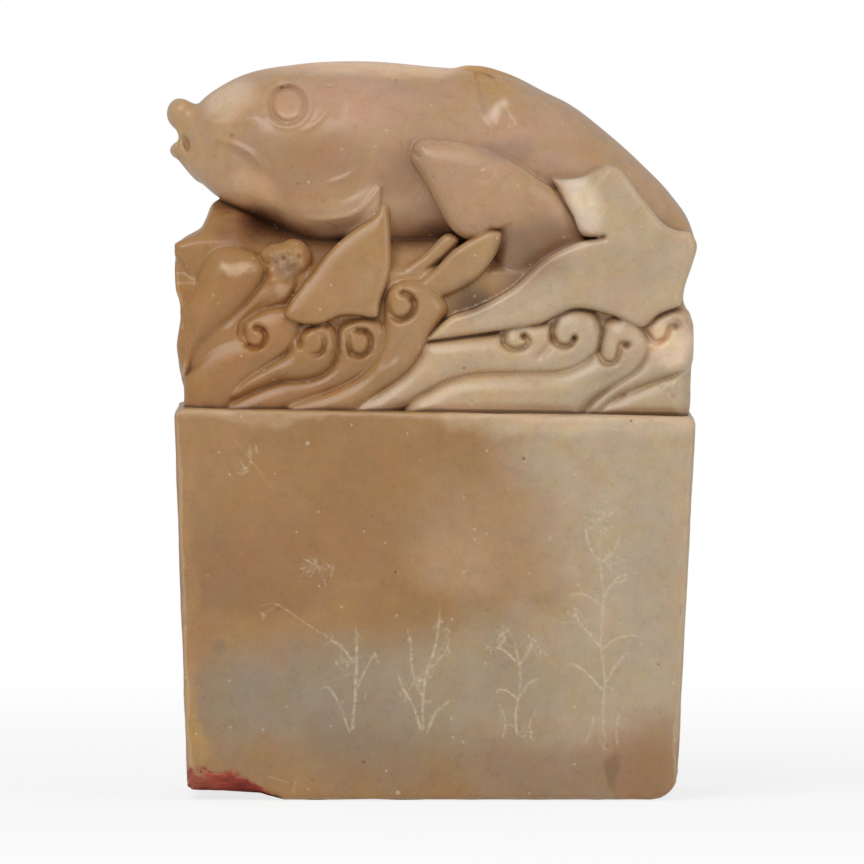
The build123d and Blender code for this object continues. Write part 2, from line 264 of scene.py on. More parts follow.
# the carp
carp = {
    "top": (
        (176, 112), (187, 107.5), (194, 105.5), (205, 96), (224, 83.3), (250, 72), (290, 64.6), (335, 61.3),
        (381, 61.8), (430, 66.5), (470, 70), (500, 74), (519, 80), (547, 92.6), (575, 107), (597, 123.5),
        (638, 159.5), (673, 196), (692, 223), (700, 240),
    ),
    "bottom": (
        (176, 161), (187, 171), (200, 184), (214, 196), (233, 206), (254, 214), (278, 225), (298, 233),
        (320, 238), (342, 240), (380, 247), (430, 256), (500, 263), (560, 264), (615, 263), (660, 258), (700, 248),
    ),
    "half": (
        (176, 2.9), (187, 3.9), (213, 7.0), (250, 9.5), (300, 10.7), (360, 11.0), (430, 10.6), (500, 9.9),
        (560, 8.8), (615, 7.2), (660, 5.3), (700, 2.4),
    ),
    "mouthCol": 183.5,
    "tailCol": 698,
    "fullness": (2, 0.5, 2.3),  # of the back, what the belly adds to it, and what the chin adds to that
    "mouthRound": 0.9, "tailRound": 1.2,
    "parting": -3.0,  # x at which the body's mesh is parted, so that neither part is too heavy
}


def carpBody(atX, atY, atZ):
    x = atX[:, 0, 0]
    top = smoothTable(x, *onStone(carp["top"]).T)
    bottom = smoothTable(x, *onStone(carp["bottom"]).T)
    half = smoothTable(x, onStone([(c, 0) for c, h in carp["half"]])[:, 0], [h for c, h in carp["half"]])
    middle, high = ((top + bottom) / 2)[:, None, None], ((top - bottom) / 2)[:, None, None]
    half = half[:, None, None]
    y, z = np.abs(atY / half), (atZ - middle) / high
    back, belly, chin = carp["fullness"]
    full = back + ease(0.1, -0.6, z) * (belly + chin * ease(3, -9, atX))
    z = np.abs(z)
    reach = (y**full + z**full) ** (1 / full) + 1e-6
    steep = np.sqrt(((y / reach) ** (full - 1) / half) ** 2 + ((z / reach) ** (full - 1) / high) ** 2 + 1e-9)
    field = (reach - 1) / steep
    mouth, tail = onStone([(carp["mouthCol"], 0), (carp["tailCol"], 0)])[:, 0]
    return roundMax(roundMax(field, mouth - atX, carp["mouthRound"]), atX - tail, carp["tailRound"])


carpLines = [
    # nostril fold, mouth line, barbel, crease along the back
    (((203, 119), (218, 121.5), (236, 121), (253, 116.5), (268, 120)), 0.36, -0.24, "end"),
    (((205, 127), (222, 129), (240, 127), (256, 123)), 0.4, 0.2),
    (((214, 134), (224, 133), (233, 135.5)), 0.17, 0.24, "start"),
    (((216, 138), (231, 142.5), (252, 154), (261, 165), (263, 183)), 0.32, -0.34, "end"),
    (((214, 144.5), (230, 150), (247, 160.5), (255, 172)), 0.38, 0.2),
    (((250, 147), (266, 157), (271, 176)), 0.45, 0.12),
    (((232, 74), (290, 69), (353, 70), (390, 81), (418, 86), (440, 85), (471, 72)), 0.55, 0.22),
    (((292, 131), (297, 138), (300, 149), (302, 160)), 0.2, 0.11),
    # soft folds behind the eye
    (((316, 76), (326, 88), (328, 105), (320, 119), (305, 129), (285, 131)), 0.3, -0.14),
    (((328, 78), (338, 93), (340, 110), (332, 124)), 0.45, 0.15),
    (((340, 84), (347, 98), (346, 114)), 0.3, -0.08),
    # corner of the mouth, and the chin
    (((189, 116), (193, 132), (197, 147), (199, 161)), 0.3, -0.3),
    (((181, 131), (186, 143), (193, 158)), 0.5, 0.5),
    (((200, 122), (204, 140), (207, 158)), 0.5, 0.12),
    (((200, 176), (222, 190), (250, 201), (276, 212)), 0.5, 0.07),
]
eye = {
    "centre": (287.8, 104.6), "radius": 1.48,
    "deepSide": 135,  # degrees; towards it the groove gets deeper and wider
    "groove": (0.24, 0.3, 0.34, 0.2, 0.16),  # mm outside the eye, depth, how much deeper, width, how much wider
    "dip": (0.9, 0.34, 0.65),  # mm outside the eye, depth, width
    "rim": (2.25, 0.15, 0.26),  # mm from the middle, height, width
    "sunk": 0.06,
}
carpPits = [
    (231.4, 135.4, 0.14, 0.35), (275, 219, 0.12, 0.1), (287, 209, 0.16, -0.07), (241, 189, 0.2, 0.08),
    (281, 87.5, 0.12, 0.2), (301.5, 108.5, 0.12, 0.15), (313, 119, 0.1, 0.06), (264, 93, 0.7, 0.14),
]
# the flake scar on the back: a step down from its left edge, rising again to the right
scarOutline = (
    (475, 70), (478, 88), (480, 100), (484, 112), (491, 123), (500, 130), (509, 131), (517, 124), (511, 113),
    (505, 102), (501, 88), (494, 76),
)
scarDepth, scarLip = 0.34, 0.12


def carpRelief(atX, atZ):
    depth = cutLines(carpLines, atX, atZ) + pits(carpPits, atX, atZ)
    ex, ez = onStone(eye["centre"])
    r, turn = np.hypot(atX - ex, atZ - ez), np.arctan2(atZ - ez, atX - ex)
    shade = 0.5 + 0.5 * np.cos(turn - math.radians(eye["deepSide"]))
    out, deep, deeper, wide, wider = eye["groove"]
    depth += (deep + deeper * shade) * bell(r - eye["radius"] - out, wide + wider * shade)
    out, deep, wide = eye["dip"]
    depth += deep * shade**2 * bell(r - eye["radius"] - out, wide)
    at, high, wide = eye["rim"]
    depth -= high * bell(r - at, wide) * (1 - shade)
    depth += eye["sunk"] * ease(eye["radius"], 0, r)
    # the scar, with a raised lip along its left edge
    scar = areaDistance(bend(scarOutline), atX, atZ)
    leftEdge = onStone(np.array(scarOutline[:6]))[::-1]
    fromLeft = atX - np.interp(atZ, leftEdge[:, 1], leftEdge[:, 0])
    depth += scarDepth * ease(0.1, -0.22, scar) * (0.3 + 0.7 * ease(3.0, 0.6, fromLeft))
    depth -= scarLip * bell(scar, 0.2) * ease(1.4, 0.2, fromLeft)
    return depth


carpBox, carpX, carpY, carpZ = region((-27, -13, 53), (27.4, 13, 75))
plainCarp = carpBody(carpX, carpY, carpZ)
relief = carpRelief(carpX[:, 0], carpZ[0])[:, None, :] * ease(0.3, 2.2, np.abs(carpY))

# mouth: two lip knobs and the cleft between them
mouthParts = {
    "upper_lip": ((177, 113.5), (1.25, 2.4, 1.55)),
    "lower_lip": ((177.5, 151), (1.0, 2.1, 0.85)),
}
cleft = {"centre": (169.5, 136.5), "radii": (0.75, 3.4, 0.8), "melt": 0.25}


def egg(atX, atY, atZ, centre, radii):
    cx, cz = onStone(centre)
    px, py, pz = (atX - cx) / radii[0], atY / radii[1], (atZ - cz) / radii[2]
    reach = np.sqrt(px**2 + py**2 + pz**2) + 1e-6
    return (reach - 1) * reach / np.sqrt((px / radii[0]) ** 2 + (py / radii[1]) ** 2 + (pz / radii[2]) ** 2 + 1e-9)


def softUnion(a, b, melt):
    h = np.clip(0.5 + 0.5 * (a - b) / melt, 0, 1)
    return a + (b - a) * h - melt * h * (1 - h)


def upright(loop, half, rounding, atX, atY, atZ):
    # a plate that stands in the middle of the stone
    return roundMax(areaDistance(loop, atX[:, 0], atZ[0])[:, None, :], np.abs(atY) - half, rounding)


snout = {"half": 2.7, "rounding": 1.3, "melt": 0.8}
snoutField = upright(bend((
    (172, 103), (181, 99.5), (190, 103), (197, 112), (202, 124), (204, 140), (206, 160), (199, 181), (188, 174),
    (177, 162), (171, 153), (172, 145), (174.5, 138), (173, 130), (169, 121), (167.5, 111),
)), snout["half"], snout["rounding"], carpX, carpY, carpZ)
carpField = softUnion(plainCarp, snoutField, snout["melt"])
cleftField = egg(carpX, carpY, carpZ, cleft["centre"], cleft["radii"])
carpField = -softUnion(-carpField, cleftField, cleft["melt"]) + relief

meltIn(carpBox, carpField)
claim("carpHead", "carp_body", "pink_soapstone", carpBox, np.maximum(carpField, carpX - carp["parting"]))
claim("carpFlank", "carp_body", "pink_soapstone", carpBox, np.maximum(carpField, carp["parting"] - carpX))
for node, (at, radii) in mouthParts.items():
    (x, z), reach = onStone(at), max(radii) + 1.5
    box, atX, atY, atZ = region((x - reach, -reach - 1, z - reach), (x + reach, reach + 1, z + reach))
    addForm(node, "pink_soapstone", box, egg(atX, atY, atZ, at, radii))

# ridge of the worn fin on the back
dorsal = {
    "outline": (
        (440, 80), (452, 70.5), (462, 66.3), (472, 65.3), (490, 67.6), (519, 78.2), (547, 94.4), (560, 104),
        (540, 104), (505, 96), (470, 92),
    ),
    "half": 1.5, "rounding": 1.2,
}
ridge = bend(dorsal["outline"])
box, *place = regionRound(ridge, 2, -5, 5)
addForm("carp_dorsal_fin", "pink_soapstone", box, upright(ridge, dorsal["half"], dorsal["rounding"], *place))

# gill covers: plates that thicken towards their lower edge
gill = {
    "outline": (
        (300, 132), (330, 120), (362, 130), (380, 152), (383, 182), (377, 212), (362, 227), (342, 238.5),
        (318, 241), (296, 236), (272, 226), (262, 200), (272, 165),
    ),
    "thickness": 0.7, "rounding": 0.4,
    "thinCorner": (262, 158),
    "lines": [
        (((379.3, 188), (364.5, 206), (346, 215.5), (316, 219), (296, 214)), 0.28, -0.26, "end"),
        (((382, 203), (366, 217), (346, 226), (318, 228), (296, 223)), 0.5, 0.24),
        (((364, 157), (351.6, 173), (335, 180.5), (318, 185)), 0.28, -0.24),
        (((372, 172), (358, 189), (341, 198), (318, 202)), 0.6, 0.2),
    ],
}
loop = bend(gill["outline"])
startX, startZ = onStone(gill["thinCorner"])
for node, near, far in (("front_gill_cover", -13.5, -3), ("back_gill_cover", 3, 13.5)):
    box, atX, atY, atZ = regionRound(loop, 1.5, near, far)
    grown = ease(0, 5.5, startZ - atZ[0]) * ease(0, 4.5, atX[:, 0] - startX)
    plate = gill["thickness"] * (1.3 * grown - 0.3) - cutLines(gill["lines"], atX[:, 0], atZ[0])
    within = areaDistance(loop, atX[:, 0], atZ[0])
    addForm(node, "pink_soapstone", box,
            roundMax(carpBody(atX, atY, atZ) - plate[:, None, :], within[:, None, :], gill["rounding"]))
print("carp sculpted")


# slabs: forms whose outline is drawn on the photograph, with a carved face
stoneSides = onStone((
    (175, 250), (175, 285), (179, 301), (181, 318), (177, 345), (180, 368), (183.5, 386), (184, 397), (182, 422),
    (688, 422), (691, 398), (688, 376), (693, 352), (694, 325), (688, 305), (688, 290), (692, 262), (692, 180),
    (175, 180),
))


def slab(node, slot, side, loop, face, rounding, tilt=(0, 0), pillow=(0, 1), lines=(), spots=(), seat=8.5,
         shape=None, grow=0.0):
    # side is -1 at the front and 1 at the back; face and seat are how far it lies from the middle of the stone
    near, far = (-15.2, 1 - seat) if side < 0 else (seat - 1, 15.2)
    box, atX, atY, atZ = regionRound(loop, 1.8, near, far)
    flatX, flatZ = atX[:, 0], atZ[0]
    s = areaDistance(loop, flatX, flatZ) - grow
    if grow:
        s = np.maximum(s, areaDistance(stoneSides, flatX, flatZ))
    middle = loop.mean(0)
    front = face + tilt[0] * (flatX - middle[0]) + tilt[1] * (flatZ - middle[1])
    front = front - pillow[0] * (1 - np.clip(-s / pillow[1], 0, 1)) ** 2
    front = front - cutLines(lines, flatX, flatZ) - pits(spots, flatX, flatZ)
    if shape:
        front = front + shape(flatX, flatZ, s)
    field = roundMax(s[:, None, :], side * atY - front[:, None, :], rounding)
    addForm(node, slot, box, np.maximum(field, seat - side * atY))


# the small fish: its head stands proud, and its body runs back behind the tail fin
smallFish = {
    "outline": (
        (410.5, 156), (413, 148), (416.5, 141.5), (425.5, 138.6), (451.6, 140), (473, 144.3), (495, 151.9),
        (518.8, 164.9), (540.5, 180), (556, 190), (575, 211), (590, 240), (582, 268), (552, 288), (520, 292),
        (503, 277), (496, 257), (495, 240), (493, 231), (482, 237), (466.7, 238), (453.7, 230), (445, 218),
        (434, 197.4), (425.5, 181.5), (413, 163.5),
    ),
    "head": (
        (408, 156), (416, 138), (451, 136), (495, 148), (540, 174), (538, 205), (519, 218), (497, 228),
        (482, 237.5), (467, 238.5), (453, 231), (440, 215), (420, 175),
    ),
    "eye": (485.2, 172.5),
    "eyeRadius": 0.66, "eyeDepth": 0.11,
    "gill": (505, 215), "lengthwise": (0.733, -0.68), "tailFall": 0.33, "noseFall": 0.1,
    "cheek": (478, 238), "cheekStep": 0.75,
    "face": 13.5,
}


def smallFishShape(atX, atZ, s):
    # falls away behind the gill and a little towards the nose
    ax, az = onStone(smallFish["gill"])
    along = (atX - ax) * smallFish["lengthwise"][0] + (atZ - az) * smallFish["lengthwise"][1]
    shape = -smallFish["tailFall"] * np.maximum(along, 0) - smallFish["noseFall"] * np.maximum(-along - 3, 0)
    # a step under the cheek
    hx, hz = onStone(smallFish["cheek"])
    near = ease(4.6, 1.2, np.hypot(atX - hx, atZ - hz))
    head = areaDistance(bend(smallFish["head"]), atX, atZ)
    shape = shape - smallFish["cheekStep"] * near * ease(-0.1, 0.25, head)
    ex, ez = onStone(smallFish["eye"])
    return shape - smallFish["eyeDepth"] * bell(np.hypot(atX - ex, atZ - ez) - smallFish["eyeRadius"], 0.14)


slab("small_fish_body", "pink_soapstone", -1, bend(smallFish["outline"]), smallFish["face"], 0.75,
     pillow=(1.1, 2.4), seat=6.5, shape=smallFishShape,
     lines=[(((411, 151.5), (415, 152.5), (421, 156)), 0.16, 0.5, "end")],
     spots=[(420, 155.6, 0.16, 0.5), (433.6, 177.5, 0.14, 0.25), (504.7, 180.7, 0.13, 0.12),
            (532.9, 204.4, 0.22, 0.2), (417.5, 147, 0.13, 0.12)])

# the carp's tail fin: a broken upper lobe with a pale scar, and a lower lobe that runs to a tip on the left
tailFin = {
    "left": ((605, 236), (578, 242), (545, 258), (513, 287), (477, 307), (449, 317), (426, 340)),
    "lower": (
        (426, 340), (469, 334), (503, 329), (538, 323), (556, 315), (578, 307), (612, 314), (641, 326),
        (660, 313), (681, 305),
    ),
    "right": ((681, 305), (686, 285), (693, 264), (697.5, 245), (692, 232)),
    "top": ((692, 232), (675, 229), (662, 221), (645, 200), (626, 174), (616, 166)),
    "break": ((616, 166), (607, 165), (597, 170), (582, 176.5), (566, 179), (554, 180.5), (564, 199), (574, 216),
              (580, 231), (588, 236.5), (605, 236)),
    "scarEdge": ((617, 160), (607.7, 171.4), (596, 188.8), (593, 210.4), (599, 234), (602, 244)),
    "scarRow": 240,  # where the scar ends
    "scarFall": 0.62, "scarScoop": 0.12, "dish": 0.38,
    "face": 14.15,
}


def tailFinShape(atX, atZ, s):
    # a shallow dish, and the scar, which falls away to the left
    dish = -tailFin["dish"] * ease(0.6, 3.2, -s)
    edge = bend(tailFin["scarEdge"], closed=False)
    d = lineDistance(edge, atX, atZ)[0]
    edgeX = np.interp(atZ, edge[::-1, 1], edge[::-1, 0])
    inScar = (atX < edgeX) & (atZ > onStone((0, tailFin["scarRow"]))[1])
    fall = np.where(inScar, d, 0)
    scoop = np.where(inScar, tailFin["scarScoop"] * bell(d - 1.2, 0.7), 0)
    return dish * (1 - 0.7 * ease(0.1, 0.6, fall)) - tailFin["scarFall"] * fall - scoop


slab("carp_tail_fin", "cream_soapstone", -1,
     corners(*(tailFin[edge] for edge in ("left", "lower", "right", "top", "break"))), tailFin["face"], 0.55,
     pillow=(0.35, 0.9), seat=6.2, shape=tailFinShape,
     lines=[(((555, 262), (590, 255), (640, 262), (688, 262)), 2.2, 0.12)],
     spots=[(545, 259.6, 0.12, 0.15), (517, 284.5, 0.12, 0.15), (660, 268, 0.1, 0.05)])

# side fins of the carp, front and back, and the small fish's two
sideFin = {
    "outline": (
        (374, 216), (383, 203), (389, 213), (391, 250), (390, 273), (381, 300), (377, 316), (358, 314.5),
        (340, 315), (322, 322.5), (303, 323), (285, 315), (293, 297), (312, 273), (330, 250), (352, 231),
    ),
    "face": 13.2,
    "frontLines": [(((378, 232), (372, 255), (352, 285), (330, 305)), 1.2, 0.1)],
}
for side, node, lines in ((-1, "front_side_fin", sideFin["frontLines"]), (1, "back_side_fin", ())):
    slab(node, "amber_soapstone", side, bend(sideFin["outline"]), sideFin["face"], 0.5, tilt=(-0.03, -0.2),
         pillow=(0.3, 1.6), seat=7.5, lines=lines)

slab("small_fish_near_fin", "amber_soapstone", -1, bend((
    (480, 234), (492, 230), (502, 233), (499, 247), (491, 262), (478, 277), (462, 288), (442, 296), (430, 292),
    (419, 284), (436, 268), (455, 249),
)), 13.2, 0.4, tilt=(0.02, 0.03), pillow=(0.35, 1.0), spots=[(446, 279, 0.1, 0.15)])
slab("small_fish_far_fin", "amber_soapstone", -1, bend((
    (446, 234), (459, 240), (446, 256), (425, 272), (404, 287), (391, 291), (396, 274), (424, 254),
)), 12.1, 0.45, tilt=(0.02, -0.04), pillow=(0.3, 0.8))

# waves: outline, and how each face is carved
waves = {
    "left_crest": {
        "outline": (
            (217, 251), (240, 250), (257, 258), (265, 272), (250, 297), (226, 323), (200, 350), (182, 376),
            (176, 350), (180, 318), (196, 290), (202, 268),
        ),
        "face": 14.1, "pillow": (1.4, 2.2), "tilt": (0, -0.03),
        "lines": [(((214, 262), (204, 275), (200, 292), (190, 308)), 0.3, 0.14)],
        "spots": [(250, 268, 0.16, 0.3), (214, 292, 0.14, 0.2), (190, 322, 0.2, 0.14), (193, 333, 0.16, 0.2),
                  (188, 338, 0.14, 0.16), (221, 313, 0.14, 0.12), (236, 288, 0.12, 0.12)],
    },
    "crest_fold": {
        "outline": (
            (275, 268), (294, 272), (296, 288), (284, 304), (265, 308), (246, 323), (238, 338), (217, 343),
            (198, 359), (183, 380), (180, 368), (200, 340), (235, 310), (258, 285),
        ),
        "face": 13.1, "pillow": (0.8, 1.6),
        "lines": [(((262, 274), (252, 290), (236, 306), (222, 322)), 0.2, 0.12),
                  (((280, 297), (262, 304), (246, 316), (232, 334)), 0.2, 0.14)],
        "spots": [(264, 273, 0.18, 0.35), (278, 304, 0.2, 0.3)],
    },
    "foam_cluster": {
        "outline": (
            (263, 264), (262, 254), (271, 247), (282, 245), (292, 241), (303, 245), (309, 257), (305, 269),
            (297, 277), (288, 289), (274, 292), (263, 283), (266, 273),
        ),
        "face": 13.1, "pillow": (0.8, 1.6),
        "spots": [(283.6, 257.5, 0.15, 0.6), (298.5, 256, 0.14, 0.5), (277, 262, 0.12, 0.4), (289, 269, 0.12, 0.35),
                  (295, 249, 0.1, 0.3), (268, 263, 0.12, 0.4), (272, 254, 0.45, -0.42), (281, 250, 0.4, -0.3),
                  (290, 250, 0.35, -0.36), (302, 251, 0.38, -0.34), (292, 262, 0.42, -0.38), (281, 267, 0.42, -0.32),
                  (303, 265, 0.38, -0.3), (271, 271, 0.4, -0.34), (286, 277, 0.45, -0.3), (273, 281, 0.45, -0.28)],
    },
    "middle_curl": {
        "outline": (
            (298, 332), (306, 325), (318, 322), (330, 327), (336, 343), (332, 360), (322, 372), (300, 378),
            (278, 379), (255, 388), (236, 397), (226, 396), (244, 380), (268, 366), (290, 352),
        ),
        "face": 13.9, "pillow": (0.6, 1.5),
        "lines": [(((300, 344), (300, 335), (306, 328), (316, 325), (326, 328)), 0.22, 0.5, "end"),
                  (((312, 333), (321, 334), (325, 343), (321, 352), (311, 354), (302, 349)), 0.2, 0.42),
                  (((329, 331), (330, 345), (328, 358)), 0.2, -0.14)],
        "spots": [(326.5, 325, 0.2, 0.5), (300, 341, 0.18, 0.35), (283, 372, 0.2, -0.08)],
    },
    "left_curl": {
        "outline": (
            (244, 323), (265, 311), (285, 308), (300, 318), (297, 334), (288, 350), (266, 366), (242, 383),
            (231, 402), (222, 420), (196, 420), (186, 404), (184, 394), (187, 378), (200, 360), (220, 344),
            (240, 337),
        ),
        "face": 13.8, "pillow": (0.7, 2.2), "tilt": (0, -0.04),
        "lines": [(((256, 327), (262, 329), (266, 336), (262, 344.5), (254, 347), (247, 343), (245, 335), (249, 329)),
                   0.2, 0.5, "end"),
                  (((243, 327), (243, 334), (246, 342)), 0.2, 0.22, "end"),
                  (((270, 331), (272, 345), (262, 360), (243, 373)), 0.6, 0.12)],
        "spots": [(249, 344.5, 0.14, 0.3), (264, 329.5, 0.16, 0.35)],
    },
    "tall_curl": {
        "outline": (
            (389, 300), (393, 290), (402, 285), (416, 283), (434, 291), (445, 307), (438, 322), (428, 338),
            (421, 354), (406, 373), (380, 391), (366, 404), (350, 420), (300, 420), (288, 405), (330, 392),
            (365, 373), (384, 346), (388, 320),
        ),
        "face": 14.15, "pillow": (0.75, 1.7),
        "lines": [(((403, 292), (410, 295), (415, 302), (413, 311), (406, 317), (397, 318), (390, 312), (389, 303),
                    (393, 295)), 0.22, 0.6, "end"),
                  (((407, 322), (404, 339), (395, 356), (380, 372)), 0.42, 0.3)],
        "spots": [(412, 300.5, 0.26, 0.45), (432, 299, 0.16, -0.1), (433, 312, 0.14, -0.08)],
    },
    "small_curl": {
        "outline": (
            (340, 328), (352, 320), (368, 317), (382, 322), (388, 336), (382, 358), (352, 381), (312, 398),
            (286, 412), (270, 420), (232, 420), (222, 408), (240, 398), (262, 388), (284, 381), (315, 377),
            (333, 364), (338, 345),
        ),
        "face": 13.5, "pillow": (0.7, 1.6), "tilt": (0, -0.05),
        "lines": [(((358, 330), (366, 331), (371, 338), (369, 349), (361, 355), (352, 352), (349, 343), (353, 334)),
                   0.2, 0.55, "end"),
                  (((344, 330), (342, 343), (345, 355)), 0.22, -0.18),
                  (((349, 326), (348, 338), (350, 350)), 0.18, 0.22, "start"),
                  (((376, 330), (378, 345), (366, 362), (345, 374)), 0.4, 0.14)],
        "spots": [(365.7, 331.5, 0.2, 0.4), (350.4, 353.5, 0.2, 0.5), (353, 330, 0.18, 0.3)],
    },
    "high_wave": {
        "outline": (
            (428, 342), (465, 336), (497, 333), (510, 326), (528, 323), (548, 321), (560, 312), (576, 308),
            (593, 313), (600, 331), (596, 351), (579, 365), (556, 372), (515, 373), (473, 374), (449, 380),
            (426, 391), (402, 407), (380, 420), (350, 420), (346, 408), (380, 392), (405, 374), (420, 356),
        ),
        "face": 14.0, "pillow": (0.8, 1.8), "tilt": (0, -0.04),
        "lines": [(((524, 335), (529, 341), (523, 347), (513, 348.5), (505, 344), (503, 335)), 0.22, 0.5, ""),
                  (((553, 324), (552.5, 334), (556, 342), (564, 345.5), (571, 343.5), (575, 337.5)), 0.22, 0.6, ""),
                  (((553, 338), (548, 347), (538, 356), (527, 361)), 0.3, 0.3, "end"),
                  (((586, 322), (590, 334), (584, 350), (566, 362), (545, 368)), 0.5, 0.12),
                  (((430, 358), (460, 352), (500, 353), (530, 356)), 0.9, -0.14)],
        "spots": [(524, 336, 0.3, 0.5), (575, 336.5, 0.24, 0.45), (503, 342, 0.2, 0.3), (556, 320, 0.22, 0.4)],
    },
    "low_wave": {
        "outline": (
            (601, 338), (607, 324), (618, 318), (632, 319), (643, 331), (648, 350), (633, 371), (606, 387),
            (588, 402), (578, 420), (560, 420), (440, 420), (404, 420), (412, 402), (428, 392), (450, 380.5),
            (476, 374.5), (520, 373), (558, 372), (582, 364), (598, 352),
        ),
        "face": 14.15, "pillow": (0.85, 1.9), "tilt": (0, -0.03),
        "lines": [(((629, 344), (621, 343.5), (619.5, 352), (615, 361), (606, 362), (600, 354), (600, 342), (604, 330)),
                   0.22, 0.5, ""),
                  (((634, 338), (636, 352), (622, 371), (596, 382), (560, 386)), 0.45, 0.16),
                  (((450, 398), (500, 391), (560, 393), (592, 388)), 1.0, -0.14)],
        "spots": [(626, 345.5, 0.28, 0.5), (541, 394, 0.3, 0.06), (472, 401, 0.14, 0.2)],
    },
    "edge_wave": {
        "outline": (
            (645, 327), (652, 318), (664, 311), (678, 308.5), (690, 318), (693.5, 345), (689, 364), (669, 375),
            (645, 384), (615, 399), (598, 420), (578, 420), (590, 401), (612, 385), (638, 367), (649, 348),
        ),
        "face": 13.6, "pillow": (0.8, 1.6), "tilt": (0.04, 0),
        "lines": [(((676, 325), (670, 327), (666, 337), (656, 341.5), (647, 334)), 0.22, 0.5, ""),
                  (((681, 326), (678, 320), (672, 321)), 0.16, 0.3, "end"),
                  (((684, 334), (680, 350), (660, 362), (640, 374)), 0.5, 0.14)],
        "spots": [(676, 326.5, 0.26, 0.5), (682, 329, 0.16, 0.3)],
    },
    "foot_wave": {
        "outline": (
            (580, 420), (592, 409), (617, 398), (647, 385), (670, 376), (689, 370), (688, 388), (687, 402),
            (682, 420),
        ),
        "face": 13.3, "pillow": (0.7, 1.6),
        "spots": [(668, 391, 0.25, 0.2), (674, 397, 0.2, 0.25), (663, 386, 0.15, 0.2)],
    },
}
carving = {
    "hookWidth": 1.45, "hookDepth": 1.5, "pillowDepth": 1.3, "pillowWidth": 1.25, "rounding": 0.85, "grow": 0.3,
    "backStep": 0.15,  # how much lower the back is carved
}
creamWaves = ("high_wave", "low_wave", "edge_wave", "foot_wave", "back_high_wave", "back_low_wave")
for name, wave in waves.items():
    for side, node, step in ((-1, name, 0), (1, "back_" + name, carving["backStep"])):
        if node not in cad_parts:
            continue
        slot = "cream_soapstone" if node in creamWaves else "amber_soapstone"
        slab(node, slot, side, bend(wave["outline"]), wave["face"] - step, carving["rounding"],
             tilt=wave.get("tilt", (0, 0)),
             pillow=(wave["pillow"][0] * carving["pillowDepth"], wave["pillow"][1] * carving["pillowWidth"]),
             lines=[(points, width * carving["hookWidth"], depth * carving["hookDepth"], *fade)
                    for points, width, depth, *fade in wave.get("lines", ())],
             spots=wave.get("spots", ()), grow=carving["grow"])
swell = (
    (432, 336), (455, 305), (490, 282), (530, 262), (575, 246), (625, 240), (668, 244), (690, 258), (687, 285),
    (668, 303), (630, 306), (585, 304), (545, 312), (500, 326), (462, 335),
)
slab("back_swell", "amber_soapstone", 1, bend(swell), 13.9, 0.8, pillow=(1.2, 3.2), tilt=(0, -0.05),
     lines=[(((470, 322), (530, 290), (600, 266), (660, 262)), 0.5, 0.25),
            (((520, 308), (580, 287), (640, 283), (672, 288)), 0.45, 0.22)])
print("waves carved")

# the bank behind the waves, with strands carved into its two ends
bank = {
    "left": ((182, 420), (184, 397), (183.5, 386), (180, 368), (177, 345), (181, 318), (179, 301), (175, 285),
             (174.5, 244)),
    "top": ((174.5, 244), (183, 239), (199, 231), (206, 220), (215, 203), (240, 200), (300, 215), (420, 236),
            (600, 240), (688, 238)),
    "right": ((688, 238), (690, 262), (684.5, 284), (684, 300), (692.5, 325), (693.5, 352), (692, 374), (691, 398),
              (688, 420)),
    # how far the core reaches from the middle, and how it steps back: (by, from height, to height)
    "middleFront": (12.2, (1.7, 52.5, 54.5), (8.5, 54, 60)),
    "leftFront": (12.8, (1.1, 46, 50), (0.6, 55.4, 57), (8.5, 56, 60.8)),
    "core": 1.1,  # how far the core stands back between the strands
    "roofLumps": 0.3,
    "parting": 18,  # x at which its mesh is parted
    "strandsFrom": 19.5,  # x from which the strands stand
    "strandZero": 14,  # how far in front of the middle the strands' tables begin
    "backFlow": [  # water lines on the slope above the back waves
        (((262, 262), (300, 245), (345, 238), (385, 246), (410, 262)), 0.5, 0.4),
        (((240, 240), (280, 229), (330, 224), (372, 232)), 0.5, 0.35),
        (((410, 282), (430, 262), (462, 248), (500, 244)), 0.5, 0.4),
        (((262, 282), (290, 268), (330, 262), (352, 268)), 0.45, 0.4),
        (((222, 262), (232, 247), (250, 240)), 0.4, 0.3),
    ],
}
# strands on the ends, as distance from the front edge and height, both in mm
endStrands = (
    ((1.2, 52.5), (5, 54.6), (9, 54), (12, 51), (10.5, 48), (6, 46.5), (2, 43), (0.6, 47)),
    ((2, 42.6), (6.5, 45.8), (11, 47.6), (13.2, 45.6), (11.5, 43.4), (8, 42.2), (4, 39.4), (1.6, 38)),
    ((13, 50.5), (15, 54), (19, 55.2), (22, 53), (21.5, 49.5), (18.5, 48.6), (16.5, 46), (13, 42), (9.5, 39.8),
     (7.5, 37.5), (13, 37.5), (17, 40.5), (19.5, 44), (17, 47)),
    ((20.5, 47.6), (23.5, 49.2), (26.6, 47.4), (26.4, 43.6), (23.5, 41), (19.5, 39.5), (16, 37.5), (22, 37.5),
     (26.8, 39), (27.4, 46), (26, 52.6), (23.4, 53.4)),
    ((3.4, 55.5), (8, 57.2), (14, 57.4), (20, 57), (24.5, 55), (20, 54.2), (13, 55.6), (7, 55.2)),
)
endHooks = (
    ((8.5, 50.2), (10, 51.4), (9, 52.8), (7.2, 52.4), (6.6, 50.8)),
    ((10.6, 45), (11.6, 45.8), (10.8, 46.8), (9.4, 46.2)),
    ((18.4, 52.4), (19.8, 51.4), (19.4, 50), (17.8, 49.9), (16.8, 51.2)),
    ((24.4, 46.8), (25.2, 45.6), (24.2, 44.6), (22.9, 45.2)),
)


def steppedFront(reach, *steps):
    for by, low, high in steps:
        reach = reach - by * ease(low, high, atZ)
    return reach


